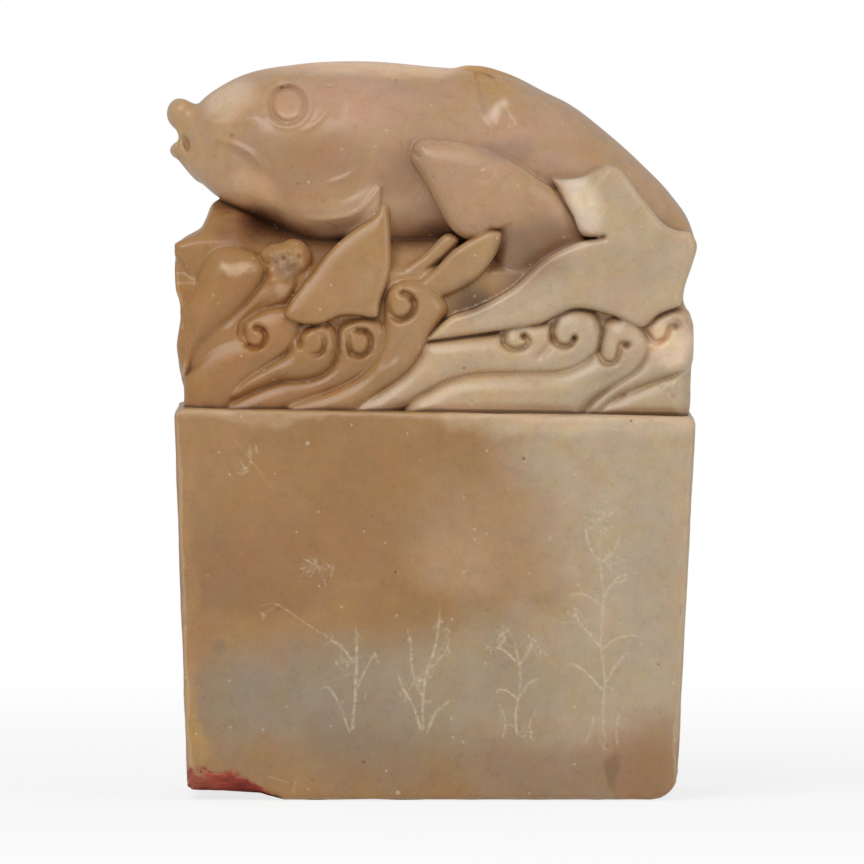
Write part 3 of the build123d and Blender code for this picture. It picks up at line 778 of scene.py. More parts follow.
box, atX, atY, atZ = region((-27.3, -13.4, 37.4), (27.6, 13.4, 61))
sBank = areaDistance(corners(bank["left"], bank["top"], bank["right"]), atX[:, 0], atZ[0])[:, None, :]
middleFront, leftFront = steppedFront(*bank["middleFront"]), steppedFront(*bank["leftFront"])
bankFront = middleFront + (leftFront - middleFront) * ease(-16.2, -20, atX)
core = roundMax(sBank + bank["core"] * ease(18, 21, np.abs(atX)) * ease(54.6, 53, atZ), np.abs(atY) - bankFront, 0.9)
depthAt = (atY + bank["strandZero"])[0]
strands = np.full((len(ys[box[1]]), len(zs[box[2]])), grid["far"])
for points in endStrands:
    strands = np.minimum(strands, areaDistance(bend(onPhoto(points)), depthAt, atZ[0]))
hookDepth = cutLines([(onPhoto(points), 0.24, 0.6, "end") for points in endHooks], depthAt, atZ[0])
ends = roundMax(strands[None], sBank + hookDepth[None], 0.8)
ends = np.maximum(ends, bank["strandsFrom"] - np.abs(atX))
ends = np.maximum(ends, np.abs(atY) - np.minimum(bankFront + 0.4 - 0.9 * ease(51.5, 53, atZ), 13.0))
flow = cutLines(bank["backFlow"], atX[:, 0], atZ[0])[:, None, :] * ease(6, 7.5, atY)
bankField = softUnion(core, ends, 0.3) + flow
bankField += bank["roofLumps"] * unevenness(3.2, 14)[box] * ease(54.5, 56.5, atZ) * ease(-6, -2, atY)
meltIn(box, bankField)
for name, beyond, stride in (
    ("bankLeftEnd", atX + bank["parting"], 1), ("bankMiddle", np.abs(atX) - bank["parting"], 2),
    ("bankRightEnd", bank["parting"] - atX, 1),
):
    claim(name, "wave_bank", "amber_soapstone", box, np.maximum(bankField, beyond), stride)
print("bank carved")

# wear: the whole surface is a little uneven, as hand work is, and the foam is rough: (depth, size of lumps, seed)
wear = {"large": (0.07, 4.5, 11), "small": (0.03, 1.7, 12), "foam": (0.16, 0.75, 13), "foamAt": (286, 257)}
(largeDeep, *large), (smallDeep, *small), (foamDeep, *foam) = wear["large"], wear["small"], wear["foam"]
whole += largeDeep * unevenness(*large) + smallDeep * unevenness(*small)
box, atX, atY, atZ = region((-17.4, -14.6, 53.0), (-12.2, -9.5, 57.4))
foamX, foamZ = onStone(wear["foamAt"])
lumpy = ease(2.4, 1.2, np.hypot(atX - foamX, 1.25 * (atZ - foamZ)))
whole[box] += foamDeep * lumpy * unevenness(*foam)[box]


# from the sculpting grid to closed meshes
def atPoints(field, points):
    # values of a grid at points between its samples
    index, part = [], []
    for axis, p in zip((xs, ys, zs), points.T):
        at = np.clip((p - axis[0]) / (axis[1] - axis[0]), 0, len(axis) - 1.001)
        cell = at.astype(int)
        index.append(cell)
        part.append(at - cell)
    (i, j, k), (a, b, c) = index, part
    total = 0
    for di, wi in ((0, 1 - a), (1, a)):
        for dj, wj in ((0, 1 - b), (1, b)):
            for dk, wk in ((0, 1 - c), (1, c)):
                total = total + wi * wj * wk * field[i + di, j + dj, k + dk]
    return total


def slopeAt(field, points, reach):
    steps = np.eye(3) * reach
    return np.stack([atPoints(field, points + s) - atPoints(field, points - s) for s in steps], -1)


def skin(field, start, stride=1):
    # one point in each cell that the surface crosses, and one face round each crossed edge
    inside = field < 0
    shape = tuple(n - 1 for n in field.shape)
    count = np.zeros(shape, np.uint8)
    offsets = [(a, b, c) for a in (0, 1) for b in (0, 1) for c in (0, 1)]
    for a, b, c in offsets:
        count += inside[a:a + shape[0], b:b + shape[1], c:c + shape[2]]
    active = (count > 0) & (count < 8)
    i, j, k = np.nonzero(active)
    number = np.full(shape, -1, np.int64)
    number[active] = np.arange(len(i))
    total, hits = np.zeros((len(i), 3)), np.zeros(len(i))
    for a in offsets:
        for axis in range(3):
            if a[axis]:
                continue
            b = tuple(v + (n == axis) for n, v in enumerate(a))
            fa, fb = field[i + a[0], j + a[1], k + a[2]], field[i + b[0], j + b[1], k + b[2]]
            crossed = (fa < 0) != (fb < 0)
            t = np.where(crossed, fa / np.where(crossed, fa - fb, 1), 0)
            point = np.tile(np.array(a, float), (len(i), 1))
            point[:, axis] += t
            total[crossed] += point[crossed]
            hits += crossed
    local = (total / hits[:, None] + np.stack([i, j, k], -1) - 1) * stride + np.array(start)
    steps = np.array([xs[1] - xs[0], ys[1] - ys[0], zs[1] - zs[0]])
    points = local * steps + np.array([xs[0], ys[0], zs[0]])
    quads = []
    for axis in range(3):
        u, v = (axis + 1) % 3, (axis + 2) % 3
        lower = [slice(None)] * 3
        upper = [slice(None)] * 3
        lower[axis], upper[axis] = slice(0, -1), slice(1, None)
        first, last = inside[tuple(lower)], inside[tuple(upper)]
        e = np.stack(np.nonzero(first != last), -1)
        outward = first[tuple(e.T)]
        ring = []
        for du, dv in ((-1, -1), (0, -1), (0, 0), (-1, 0)):
            c = e.copy()
            c[:, u] += du
            c[:, v] += dv
            ring.append(number[tuple(c.T)])
        ring = np.stack(ring, -1)
        ring[~outward] = ring[~outward][:, ::-1]
        quads.append(ring)
    return points, np.vstack(quads)


def largestPart(points, quads):
    # leaves out loose crumbs: only the largest closed shell stays
    label = np.arange(len(points))
    while True:
        lowest = label[quads].min(1)
        fresh = label.copy()
        for corner in range(4):
            np.minimum.at(fresh, quads[:, corner], lowest)
        fresh = fresh[fresh]
        if (fresh == label).all():
            break
        label = fresh
    names, counts = np.unique(label, return_counts=True)
    kept = label == names[counts.argmax()]
    place = np.cumsum(kept) - 1
    return points[kept], place[quads[kept[quads[:, 0]]]]


def relax(points, quads, share):
    # each point moves part of the way to the middle of its neighbours
    total, count = np.zeros_like(points), np.zeros(len(points))
    for corner in range(4):
        for other in (corner - 1, (corner + 1) % 4):
            count += np.bincount(quads[:, corner], minlength=len(points))
            for axis in range(3):
                total[:, axis] += np.bincount(quads[:, corner], points[quads[:, other], axis], len(points))
    return points + share * (total / count[:, None] - points)


def makeMesh(name, points, quads, normals, marks):
    mesh = bpy.data.meshes.new(name)
    mesh.vertices.add(len(points))
    mesh.vertices.foreach_set("co", (points * millimetre).astype(np.float32).ravel())
    mesh.loops.add(quads.size)
    mesh.loops.foreach_set("vertex_index", quads.astype(np.int32).ravel())
    mesh.polygons.add(len(quads))
    mesh.polygons.foreach_set("loop_start", np.arange(0, quads.size, 4, dtype=np.int32))
    mesh.update(calc_edges=True)
    mesh.validate()
    mesh.shade_smooth()
    piece = addObject(name, mesh)
    for label, values in marks.items():
        setMark(piece, label, values)
    mesh.normals_split_custom_set_from_vertices(normals.tolist())
    return piece


def fillMesh(piece, points, faces):
    piece.data.from_pydata((points * millimetre).tolist(), [], faces)
    piece.data.update()
    piece.data.validate()
    piece.data.shade_smooth()


sink = {"slope": 0.35, "hidden": 0.9}  # how a form dives under its neighbours, and how far it goes on
# marks painted into the colour: shade in hollows and creases, and lighter edges as wear and highlight; relax smooths
# the skin
shading = {
    "hollows": ((0.35, 0.9), (0.8, 0.8), (1.7, 0.6), (3.4, 0.5)),  # (mm looked out to, share)
    "most": 2.2, "crease": 0.3, "edge": 0.7, "relax": 0.45,
}


def ledgeRise(x):
    # the ledge runs down a little to the right
    return -0.0165 * (x + 0.5)


ledgeField = np.broadcast_to(
    (zs[None, :] - photo["ledgeHeight"] - ledgeRise(xs[:, None]))[:, None, :], whole.shape
)
around = np.minimum(whole, ledgeField)
pieces = []
for number, form in enumerate(forms):
    box = form["box"]
    others = np.where(owner[box] == number, second[box], nearest[box])
    own = form["field"] - others
    field = np.maximum(whole[box] + sink["slope"] * np.maximum(own, 0), own - sink["hidden"])
    stride = form["stride"]
    field = field[::stride, ::stride, ::stride]
    padded = np.full(tuple(n + 2 for n in field.shape), 1.0, np.float32)
    padded[1:-1, 1:-1, 1:-1] = field
    points, quads = skin(padded, [cut.start for cut in box], stride)
    if not len(points):
        print("nothing left of", form["name"])
        continue
    points, quads = largestPart(points, quads)
    points = relax(points, quads, shading["relax"])
    slope = slopeAt(whole, points, (xs[1] - xs[0]) * 0.95)
    normals = slope / (np.linalg.norm(slope, axis=1, keepdims=True) + 1e-9)
    # how shut in each point is, painted as shade in hollows and creases, and how sharp its edge is, painted lighter as
    # wear and highlight
    hollow = np.zeros(len(points))
    for distance, share in shading["hollows"]:
        free = atPoints(around, points + normals * distance)
        hollow += share * np.clip(1 - free / distance, 0, 1.3)
    crease = np.clip(1 - atPoints(around, points + normals * shading["crease"]) / shading["crease"], -1, 1)
    edge = np.clip(1 + atPoints(whole, points - normals * shading["edge"]) / shading["edge"], 0, 1)
    piece = makeMesh(form["name"], points, quads, normals,
                     {"hollow": hollow / shading["most"], "crease": crease, "edge": edge})
    pieces.append((piece, form))
    print(form["name"], len(quads) * 2, "triangles")
print("pieces:", len(pieces))

# the block under the knob, as a closed box whose faces are bent into the worn, chipped stone
block = {
    "baseWidth": 49.1, "baseDepth": 28.4, "baseMiddle": 0.0,
    "topWidth": 52.4, "topDepth": 30.0, "topMiddle": 0.3,
    "height": 39.0,
    "uprightRound": 1.25, "ledgeRound": 1.0, "baseRound": 0.55, "roundLimits": (0.25, 1.75), "roundZone": 2.2,
    "spacing": 0.9, "edgeSpacing": 0.22, "edgeZone": 1.8,
    "knifeSpacing": 0.125,  # mm between points where knife strokes are cut
    "knifeReach": (0.36, 1.1),  # how far from a stroke the points lie closest together, and still close
    "pocketMargin": (2.75, 2.2), "pocketWall": (0.1248, 0.1224), "pocketDepth": 1.2,
    "chipWidth": 9.5, "chipHeight": 2.6, "chipDepth": 1.7, "chipReach": 8,
    "chipZone": (-14.03, -14.0, 3.2),  # x and height up to which the front and its rim have closer points
    "cornerRound": 2.9, "chipCornerRound": 1.3,
    "endWorn": (0.85, (-14.6, -18.8), (2.6, 0.0)),  # mm, growing between two x and between two heights
    "lumps": 0.05, "fineLumps": 0.02, "shrink": 0.09,
    "nicks": (0.85, 1.35), "nickDepth": 0.32,
    "thinning": (3, 8),  # away from the strokes, each third and then each eighth point is kept
    "slips": 220,
}
# reed sprigs, cut with quick knife strokes: (points, width, depth) in the photograph's columns and rows
knifeStrokes = [
    (((606, 742), (603, 712), (605, 676), (601, 640), (604, 596), (600, 556), (602, 512)), 0.1, 0.11),
    (((604, 690), (588, 672), (576, 664), (563, 662)), 0.12, 0.13),
    (((604, 688), (614, 668), (624, 655), (637, 648)), 0.12, 0.13),
    (((602, 648), (590, 632), (578, 618), (574, 604)), 0.13, 0.14),
    (((602, 650), (612, 640), (628, 634), (641, 636)), 0.12, 0.13),
    (((603, 604), (592, 596), (577, 592), (568, 596)), 0.11, 0.12),
    (((603, 600), (611, 584), (622, 574), (631, 572)), 0.13, 0.13),
    (((601, 560), (592, 549), (587, 536), (586, 522)), 0.12, 0.13),
    (((601, 562), (612, 552), (618, 541), (620, 530)), 0.12, 0.12),
    (((602, 512), (598, 520), (593, 526)), 0.1, 0.1),
    (((602, 512), (607, 519), (613, 522)), 0.1, 0.1),
    (((586, 742), (592, 728), (594, 712)), 0.1, 0.1),
    (((618, 744), (617, 726), (621, 708)), 0.1, 0.09),
    # a second reed, lower and bent
    (((518, 741), (516, 712), (521, 682), (517, 650), (510, 628)), 0.1, 0.11),
    (((519, 696), (530, 682), (541, 677)), 0.12, 0.12),
    (((520, 700), (508, 690), (494, 688)), 0.11, 0.12),
    (((519, 664), (529, 650), (533, 636)), 0.12, 0.12),
    (((518, 662), (506, 650), (492, 645)), 0.12, 0.12),
    (((510, 628), (502, 634), (496, 641)), 0.1, 0.1),
    (((532, 740), (530, 722), (538, 706)), 0.1, 0.1),
    (((503, 738), (506, 720), (500, 706)), 0.1, 0.1),
    # grass tufts
    (((424, 733), (423, 700), (428, 668), (437, 640), (441, 598)), 0.11, 0.13),
    (((422, 733), (414, 706), (402, 684), (398, 668)), 0.11, 0.12),
    (((427, 733), (436, 712), (450, 700), (455, 697)), 0.11, 0.12),
    (((425, 700), (413, 672), (411, 640), (405, 622)), 0.1, 0.11),
    (((430, 668), (446, 650), (451, 632)), 0.1, 0.1),
    (((352, 733), (355, 700), (357, 660), (356, 618)), 0.12, 0.14),
    (((350, 733), (341, 706), (328, 686), (316, 692)), 0.1, 0.11),
    (((356, 690), (366, 668), (376, 654), (379, 668)), 0.1, 0.11),
    (((355, 664), (344, 648), (332, 640), (322, 645)), 0.11, 0.12),
    (((346, 646), (318, 630), (290, 611), (276, 603), (260, 605), (258, 614)), 0.08, 0.07),
    (((262, 619), (268, 611), (277, 604)), 0.07, 0.06),
    # long light scratches
    (((234, 440), (252, 461), (276, 492)), 0.05, 0.04),
    (((248, 443), (255, 461)), 0.05, 0.03),
    (((311, 562), (322, 567), (332, 573)), 0.05, 0.04),
    (((265, 775), (283, 780), (300, 787)), 0.06, 0.05),
    (((607, 742), (604, 751)), 0.1, 0.08),
]
stonePits = [
    (524, 457, 0.13, 0.3), (232, 471, 0.1, 0.15), (373, 515, 0.1, 0.15), (659, 664, 0.14, 0.15),
    (607, 746, 0.16, 0.16), (312, 780, 0.14, 0.1), (211, 452, 0.12, 0.08), (636, 452, 0.1, 0.12),
    (612, 484, 0.1, 0.12), (486, 610, 0.09, 0.1), (400, 700, 0.09, 0.1), (660, 712, 0.1, 0.14),
]
rng = np.random.default_rng(7)
waveNumbers, turns = rng.uniform(0.35, 1.3, (10, 3)) * rng.choice([-1, 1], (10, 3)), rng.uniform(0, 6.28, 10)


def roughness(points, fineness=1.0):
    # soft unevenness of about 1, from crossing waves
    return np.sin(points @ (waveNumbers.T * fineness) + turns).mean(-1) * 2.2


def wornEnd(points):
    # the foot of the stone is worn short at its left end
    by, across, up = block["endWorn"]
    return by * ease(*across, points[:, 0]) * ease(*up, points[:, 2])


def splitLines(length, middle=()):
    # places along an edge of the box: close together near its ends, wider apart between them
    zone, fine = block["edgeZone"], block["edgeSpacing"]
    near = np.arange(0, zone, fine)
    inner = np.linspace(zone, length - zone, int((length - 2 * zone) / block["spacing"]) + 1)
    return np.unique(np.round(np.concatenate([near, inner, length - near, middle]), 5))


boxSize = np.array([50.0, 29.0, block["height"]])  # the even box that toReal() makes into the stone


def toReal(box):
    # from the even box to the tapered stone, with sharp edges still
    up = box[:, 2] / boxSize[2]
    width, depth, middle = (
        block["base" + key] + (block["top" + key] - block["base" + key]) * up for key in ("Width", "Depth", "Middle")
    )
    x = middle + (box[:, 0] / boxSize[0] - 0.5) * width
    y = (box[:, 1] / boxSize[1] - 0.5) * depth
    return np.stack([x, y, box[:, 2]], -1), width, depth, middle


pocketX = block["pocketMargin"][0] * boxSize[0] / block["baseWidth"]
pocketY = block["pocketMargin"][1] * boxSize[1] / block["baseDepth"]
wallX, wallY = block["pocketWall"]
linesX, linesY = (
    splitLines(size, [pocket, pocket + wall, size - pocket, size - pocket - wall])
    for size, pocket, wall in ((boxSize[0], pocketX, wallX), (boxSize[1], pocketY, wallY))
)
linesZ = splitLines(boxSize[2])


def upTo(path, margin, x, z):
    # what lies in the box round a path
    low, high = path.min(0) - margin, path.max(0) + margin
    return (x > low[0]) & (x < high[0]) & (z > low[1]) & (z < high[1])


def byBorder(x, z, zone):
    # what lies within a zone along the border of the box's front
    return (x < zone) | (x > boxSize[0] - zone) | (z < zone) | (z > boxSize[2] - zone)


# the front: points lie close together along the knife strokes, and triangles join them all
fine = block["knifeSpacing"]
columns, rows = (np.arange(fine, size - fine, fine) for size in (boxSize[0], boxSize[2]))
i, k = (n.ravel() for n in np.meshgrid(np.arange(len(columns)), np.arange(len(rows)), indexing="ij"))
flatX, flatZ = columns[i], rows[k]
frontX, frontZ = toReal(np.stack([flatX, flatX * 0, flatZ], -1))[0][:, [0, 2]].T
strokePaths = [bend(points, closed=False, perSpan=3) for points, width, deep in knifeStrokes]
slips = []  # short slips of the knife beside the strokes
for number in range(block["slips"]):
    path = strokePaths[rng.integers(len(strokePaths))]
    spot = path[rng.integers(len(path))] + rng.normal(0, 0.32, 2)
    turn, reach = rng.uniform(0, math.pi), rng.uniform(0.2, 0.75)
    arm = np.array([math.cos(turn), math.sin(turn)]) * reach
    strokePaths.append(np.stack([spot - arm, spot + rng.normal(0, 0.05, 2), spot + arm]))
    slips.append((None, rng.uniform(0.06, 0.1), rng.uniform(0.03, 0.09)))
near = np.full(len(flatX), 9.0)
for path in strokePaths:
    at = np.nonzero(upTo(path, 1.6, frontX, frontZ))[0]
    near[at] = np.minimum(near[at], lineDistance(path, frontX[at], frontZ[at])[0])
for col, row, radius, deep in stonePits:
    x, z = onStone((col, row))
    near = np.minimum(near, np.hypot(frontX - x, frontZ - z))
closest, close = block["knifeReach"]
chipEnd, chipRimEnd, lowZone = block["chipZone"]
chipZone = (frontX < chipEnd) & (frontZ < lowZone)
chosen = near < closest
thinned, thinnest = ((i % n == 0) & (k % n == 0) for n in block["thinning"])
chosen |= thinned & ((near < close) | chipZone) & ~byBorder(flatX, flatZ, 0.3)
chosen |= thinnest & ~byBorder(flatX, flatZ, block["edgeZone"])
inner = np.stack([flatX[chosen], flatZ[chosen]], -1)
inner = inner[~byBorder(*inner.T, block["edgeZone"]) | (near[chosen] < closest) | chipZone[chosen]]
rim = np.stack([n.ravel() for n in np.meshgrid(linesX, linesZ, indexing="ij")], -1)
rim = rim[byBorder(*rim.T, block["edgeZone"] + 0.01)]
inChip = (toReal(np.stack([rim[:, 0], rim[:, 0] * 0, rim[:, 1]], -1))[0][:, 0] < chipRimEnd) & (rim[:, 1] < lowZone)
rim = rim[byBorder(*rim.T, 1e-4) | ~inChip]
allFlat = np.unique(np.round(np.vstack([rim, inner]), 4), axis=0)
flatVerts, _, flatFaces = delaunay_2d_cdt([tuple(p) for p in allFlat.tolist()], [], [], 0, 1e-6, False)[:3]
flatVerts = np.array([tuple(v) for v in flatVerts])
print("front face:", len(flatVerts), "points")

soup, faces = [], []


def addFace(points, triangles):
    start = sum(len(p) for p in soup)
    soup.append(points)
    faces.extend(tuple(start + n for n in face) for face in triangles)


addFace(np.stack([flatVerts[:, 0], flatVerts[:, 0] * 0, flatVerts[:, 1]], -1), flatFaces)


def addSheet(a, b, place, flip):
    across, along = np.meshgrid(a, b, indexing="ij")
    number = np.arange(across.size).reshape(across.shape)
    quads = np.stack([number[:-1, :-1], number[1:, :-1], number[1:, 1:], number[:-1, 1:]], -1).reshape(-1, 4)
    addFace(place(across.ravel(), along.ravel()), quads[:, ::-1].tolist() if flip else quads.tolist())


addSheet(linesX, linesZ, lambda a, b: np.stack([a, a * 0 + boxSize[1], b], -1), True)
addSheet(linesY, linesZ, lambda a, b: np.stack([a * 0, a, b], -1), True)
addSheet(linesY, linesZ, lambda a, b: np.stack([a * 0 + boxSize[0], a, b], -1), False)
addSheet(linesX, linesY, lambda a, b: np.stack([a, b, a * 0 + boxSize[2]], -1), False)
addSheet(linesX, linesY, lambda a, b: np.stack([a, b, a * 0], -1), True)
soup = np.vstack(soup)
rounded, back = np.unique(np.round(soup, 4), axis=0, return_inverse=True)
back = back.ravel()
real, width, depth, middle = toReal(rounded)

# knife strokes and pits, on the front only
onFront = rounded[:, 1] < 1e-4
cut, pitted = np.zeros(len(real)), np.zeros(len(real))
frontAt = np.nonzero(onFront)[0]
fx, fz = real[frontAt, 0], real[frontAt, 2]
for path, (points, wide, deep) in zip(strokePaths, knifeStrokes + slips):
    at = upTo(path, 1, fx, fz)
    if not at.any():
        continue
    d, along = lineDistance(path, fx[at], fz[at])
    strength = ease(-0.03, 0.12, along) * ease(-0.02, 0.3, 1 - along)
    ragged = 0.75 + 0.35 * roughness(np.stack([fx[at], fz[at] * 0, fz[at]], -1), 5.0)
    cut[frontAt[at]] = np.maximum(cut[frontAt[at]], strength * ragged * deep * bell(d, wide))
for col, row, radius, deep in stonePits:
    x, z = onStone((col, row))
    pitted[frontAt] = np.maximum(pitted[frontAt], deep * bell(np.hypot(fx - x, fz - z), radius))

# rounded, worn edges
noise, fineNoise = roughness(real, 0.8), roughness(real, 2.6)
halfHeight = np.full(len(real), block["height"] / 2)
half = np.stack([width / 2, depth / 2, halfHeight], -1)
centre = np.stack([middle, middle * 0, halfHeight], -1)
radius = np.where(real[:, 2] / block["height"] > 0.5, block["ledgeRound"], block["baseRound"])
nearSide = width / 2 - np.abs(real[:, 0] - middle) < block["roundZone"]
nearFace = depth / 2 - np.abs(real[:, 1]) < block["roundZone"]
radius = np.where(nearSide & nearFace, block["uprightRound"], radius) * (1 + 0.3 * noise + 0.15 * fineNoise)
radius = np.clip(radius, *block["roundLimits"])[:, None]
core = np.clip(real, centre - half + radius, centre + half - radius)
lean = real - core
length = np.linalg.norm(lean, axis=1, keepdims=True)
worn = core + lean * radius / np.maximum(length, 1e-6)
rub = np.clip((length[:, 0] - radius[:, 0]) / (0.41 * radius[:, 0]), 0, 1)  # 1 where a sharp edge was
outward = lean / np.maximum(length, 1e-6)
worn += outward * (block["lumps"] * noise + block["fineLumps"] * fineNoise - block["shrink"])[:, None]
worn[:, 1] += cut + pitted

# nicks along the edges
nick = ease(*block["nicks"], roughness(real, 1.9)) * rub
worn -= outward * (block["nickDepth"] * nick)[:, None]

# the chip in the front left corner, and the worn right corner
left = middle - width / 2
share = np.clip((real[:, 0] - left) / block["chipWidth"], 0, 1)
chipTop = block["chipHeight"] * ease(1.0, 0.4, share) * (1 + 0.08 * fineNoise)
bite = block["chipDepth"] * np.clip(1 - real[:, 2] / np.maximum(chipTop, 0.05), 0, 1) * (share < 1)
bite *= 1 + 0.2 * roughness(real, 3.1)
fromFront = real[:, 1] + depth / 2
worn[:, 1] += bite * np.clip(1 - fromFront / block["chipReach"], 0, 1)
worn[:, 2] += wornEnd(real)
for side, r in ((1, block["cornerRound"]), (-1, block["chipCornerRound"])):
    cx, cz = middle + side * (width / 2 - r), r
    dx, dz = worn[:, 0] - cx, worn[:, 2] - cz
    far = np.hypot(dx, dz)
    outside = (side * dx > 0) & (dz < 0) & (far > r)
    worn[:, 0] = np.where(outside, cx + dx * r / far, worn[:, 0])
    worn[:, 2] = np.where(outside, cz + dz * r / far, worn[:, 2])

# the top slopes a little, and the underside has the pocket of the seal face
worn[:, 2] += ledgeRise(worn[:, 0]) * ease(30, 38.5, real[:, 2])
inPocket = rounded[:, 2] < 1e-4
for axis, pocket, wall in ((0, pocketX, wallX), (1, pocketY, wallY)):
    inPocket &= np.minimum(rounded[:, axis], boxSize[axis] - rounded[:, axis]) > pocket + wall / 2
worn[inPocket, 2] = block["pocketDepth"]
worn[~inPocket, 2] = np.maximum(worn[~inPocket, 2], 0)

sealBlock = addObject("sealBlock")
fillMesh(sealBlock, worn, [tuple(int(back[n]) for n in face) for face in faces])
# where paste has stained the stone: round the chip, and in spots on the seal face
pasteMark = ease(-0.9, 1.1, chipTop + 0.55 + 0.3 * fineNoise - real[:, 2]) * ease(10.6, 7.6, real[:, 0] - left)
pasteMark *= ease(5, 1.5, fromFront)
pasteMark = np.maximum(pasteMark, ease(0.12, 0.0, real[:, 2]) * 0.75 * ease(0.1, 0.9, roughness(real, 0.6)))
# the pits' hollow mark is painted as shade in them; the edge mark lightens worn edges, partly as painted highlight
for label, values in (
    ("cut", np.clip(cut / 0.1, 0, 1)), ("hollow", np.clip(pitted / 0.12, 0, 1) * 0.8), ("crease", pitted * 0),
    ("edge", rub), ("paste", pasteMark),
):
    setMark(sealBlock, label, values)
print("sealBlock", len(faces), "faces")

# seal paste left on the chip: the front's own triangles, thickened
paste = {
    "from": 0.42, "thick": 0.05, "lumps": 0.03,
    "film": 0.14, "filmLumps": 0.05, "filmReach": (21.7, 11.9), "filmPoints": (111, 61),
    "crumbs": (1.1, 4.0, 0.7, 0.5), "grain": (0.25, 3.0, 0.6),  # noise: size in mm, detail, roughness, distortion
    "red": (168, 62, 43), "darkRed": (130, 50, 37), "paleGrains": (184, 90, 66),
    "leftEnd": (172, 92, 60), "thinEdge": (160, 116, 78), "bump": 0.5, "bumpDepth": 0.00008,
}
mark = np.where(onFront, pasteMark, 0)
patch = np.array([[back[n] for n in face] for face in faces[:len(flatFaces)]])
lumpy = roughness(worn, 9.0)
patch = patch[(mark[patch] + 0.12 * lumpy[patch] > paste["from"]).all(1) & (worn[patch][:, :, 2] < lowZone).all(1)]


def thicken(name, points, outer, inner, triangles):
    # a closed shell between two copies of an open patch
    used, triangles = np.unique(triangles, return_inverse=True)
    triangles = triangles.reshape(-1, 3)
    count = len(used)
    directed = np.vstack([triangles[:, [0, 1]], triangles[:, [1, 2]], triangles[:, [2, 0]]])
    seen = {tuple(e) for e in directed.tolist()}
    border = [(a, b) for a, b in directed.tolist() if (b, a) not in seen]
    shell = triangles.tolist() + (triangles[:, ::-1] + count).tolist()
    shell += [(b, a, a + count, b + count) for a, b in border]
    piece = addObject(name)
    fillMesh(piece, np.vstack([points[used] + outer[used], points[used] + inner[used]]), shell)
    return piece


forward = np.tile([0.0, -1.0, 0.0], (len(worn), 1))
cover = np.clip((mark - paste["from"]) / 0.5, 0, 1) * ease(9.6, 6.4, real[:, 0] - left)
coat = cover * paste["thick"] + paste["lumps"] * np.clip(lumpy, 0, 1)
pasteSmear = thicken("pasteSmear", worn, forward * (coat + 0.02)[:, None], -forward * 0.12, patch)
setMark(pasteSmear, "cover", np.tile(cover[np.unique(patch)], 2))
filmX, filmY = (
    np.linspace(-reach, reach, count) for reach, count in zip(paste["filmReach"], paste["filmPoints"])
)
filmX, filmY = np.meshgrid(filmX + block["baseMiddle"], filmY, indexing="ij")
filmPoints = np.stack([filmX.ravel(), filmY.ravel(), filmX.ravel() * 0 + block["pocketDepth"] + 0.02], -1)
number = np.arange(filmX.size).reshape(filmX.shape)
filmFaces = np.vstack([
    np.stack([number[:-1, :-1], number[1:, 1:], number[1:, :-1]], -1).reshape(-1, 3),
    np.stack([number[:-1, :-1], number[:-1, 1:], number[1:, 1:]], -1).reshape(-1, 3),
])
droop = paste["film"] + paste["filmLumps"] * (roughness(filmPoints, 1.6) + 0.6 * roughness(filmPoints, 5.0))
down = np.stack([droop * 0, droop * 0, -np.clip(droop, 0.03, 0.4)], -1)
pasteFilm = thicken("pasteFilm", filmPoints, down, down * 0, filmFaces)
setMark(pasteFilm, "cover", np.ones(len(filmPoints) * 2))
print("paste:", len(patch), "triangles on the chip")

# seal face: a ring of land with half lozenges, and free lozenges in even rows
sealFace = {
    "columns": 6, "rows": 4, "cellWidth": 6.6, "cellDepth": 5.0, "share": 0.799, "ringWidth": 41.8, "ringDepth": 22.2,
    "height": 1.35, "dotRadius": 0.6, "uneven": 0.05, "seed": 3,
}
reachX, reachY = (sealFace[key] / 2 * sealFace["share"] for key in ("cellWidth", "cellDepth"))
endX, endY = sealFace["columns"] * sealFace["cellWidth"] / 2, sealFace["rows"] * sealFace["cellDepth"] / 2
side = [(-endX + reachX, -endY)]
for n in range(1, sealFace["columns"]):
    x = n * sealFace["cellWidth"] - endX
    side += [(x - reachX, -endY), (x, -endY + reachY), (x + reachX, -endY)]
side.append((endX - reachX, -endY))
flank = [(endX, -endY + reachY)]
for n in range(1, sealFace["rows"]):
    y = n * sealFace["cellDepth"] - endY
    flank += [(endX, y - reachY), (endX - reachX, y), (endX, y + reachY)]
flank.append((endX, endY - reachY))
innerLoop = np.array(side + flank + [(-x, -y) for x, y in side + flank])
innerLoop += rng.normal(0, sealFace["uneven"], innerLoop.shape)
w, d = sealFace["ringWidth"] / 2, sealFace["ringDepth"] / 2
outerLoop = np.array([(-w, -d), (w, -d), (w, d), (-w, d)])
flat = np.vstack([outerLoop, innerLoop]) + (block["baseMiddle"], 0)
triangles = tessellate_polygon([[(x, y, 0) for x, y in flat[:4]], [(x, y, 0) for x, y in flat[4:]]])
solid = []
for a, b, c in triangles:
    turn = np.cross(flat[b] - flat[a], flat[c] - flat[a])
    low = (a, b, c) if turn < 0 else (a, c, b)
    solid += [low, tuple(n + len(flat) for n in low[::-1])]
for first, last, inward in ((0, 4, False), (4, len(flat), True)):
    for n in range(first, last):
        follow = n + 1 if n + 1 < last else first
        wall = (n, follow, follow + len(flat), n + len(flat))
        solid.append(wall[::-1] if inward else wall)
ringPoints = np.vstack([np.column_stack([flat, flat[:, 0] * 0 + z]) for z in (0.0, sealFace["height"])])
ringPoints[:len(flat), 2] += wornEnd(ringPoints[:len(flat)])
faceFrame = addObject("faceFrame")
faceFrame.data.from_pydata((ringPoints * millimetre).tolist(), [], solid)
faceFrame.data.update()


def addNode(tree, kind, inputs=None, **settings):
    node = tree.nodes.new(kind)
    for key, value in settings.items():
        setattr(node, key, value)
    for key, value in (inputs or {}).items():
        for source in value if isinstance(value, list) else [value]:
            if isinstance(source, bpy.types.NodeSocket):
                tree.links.new(source, node.inputs[key])
            else:
                node.inputs[key].default_value = source
    return node


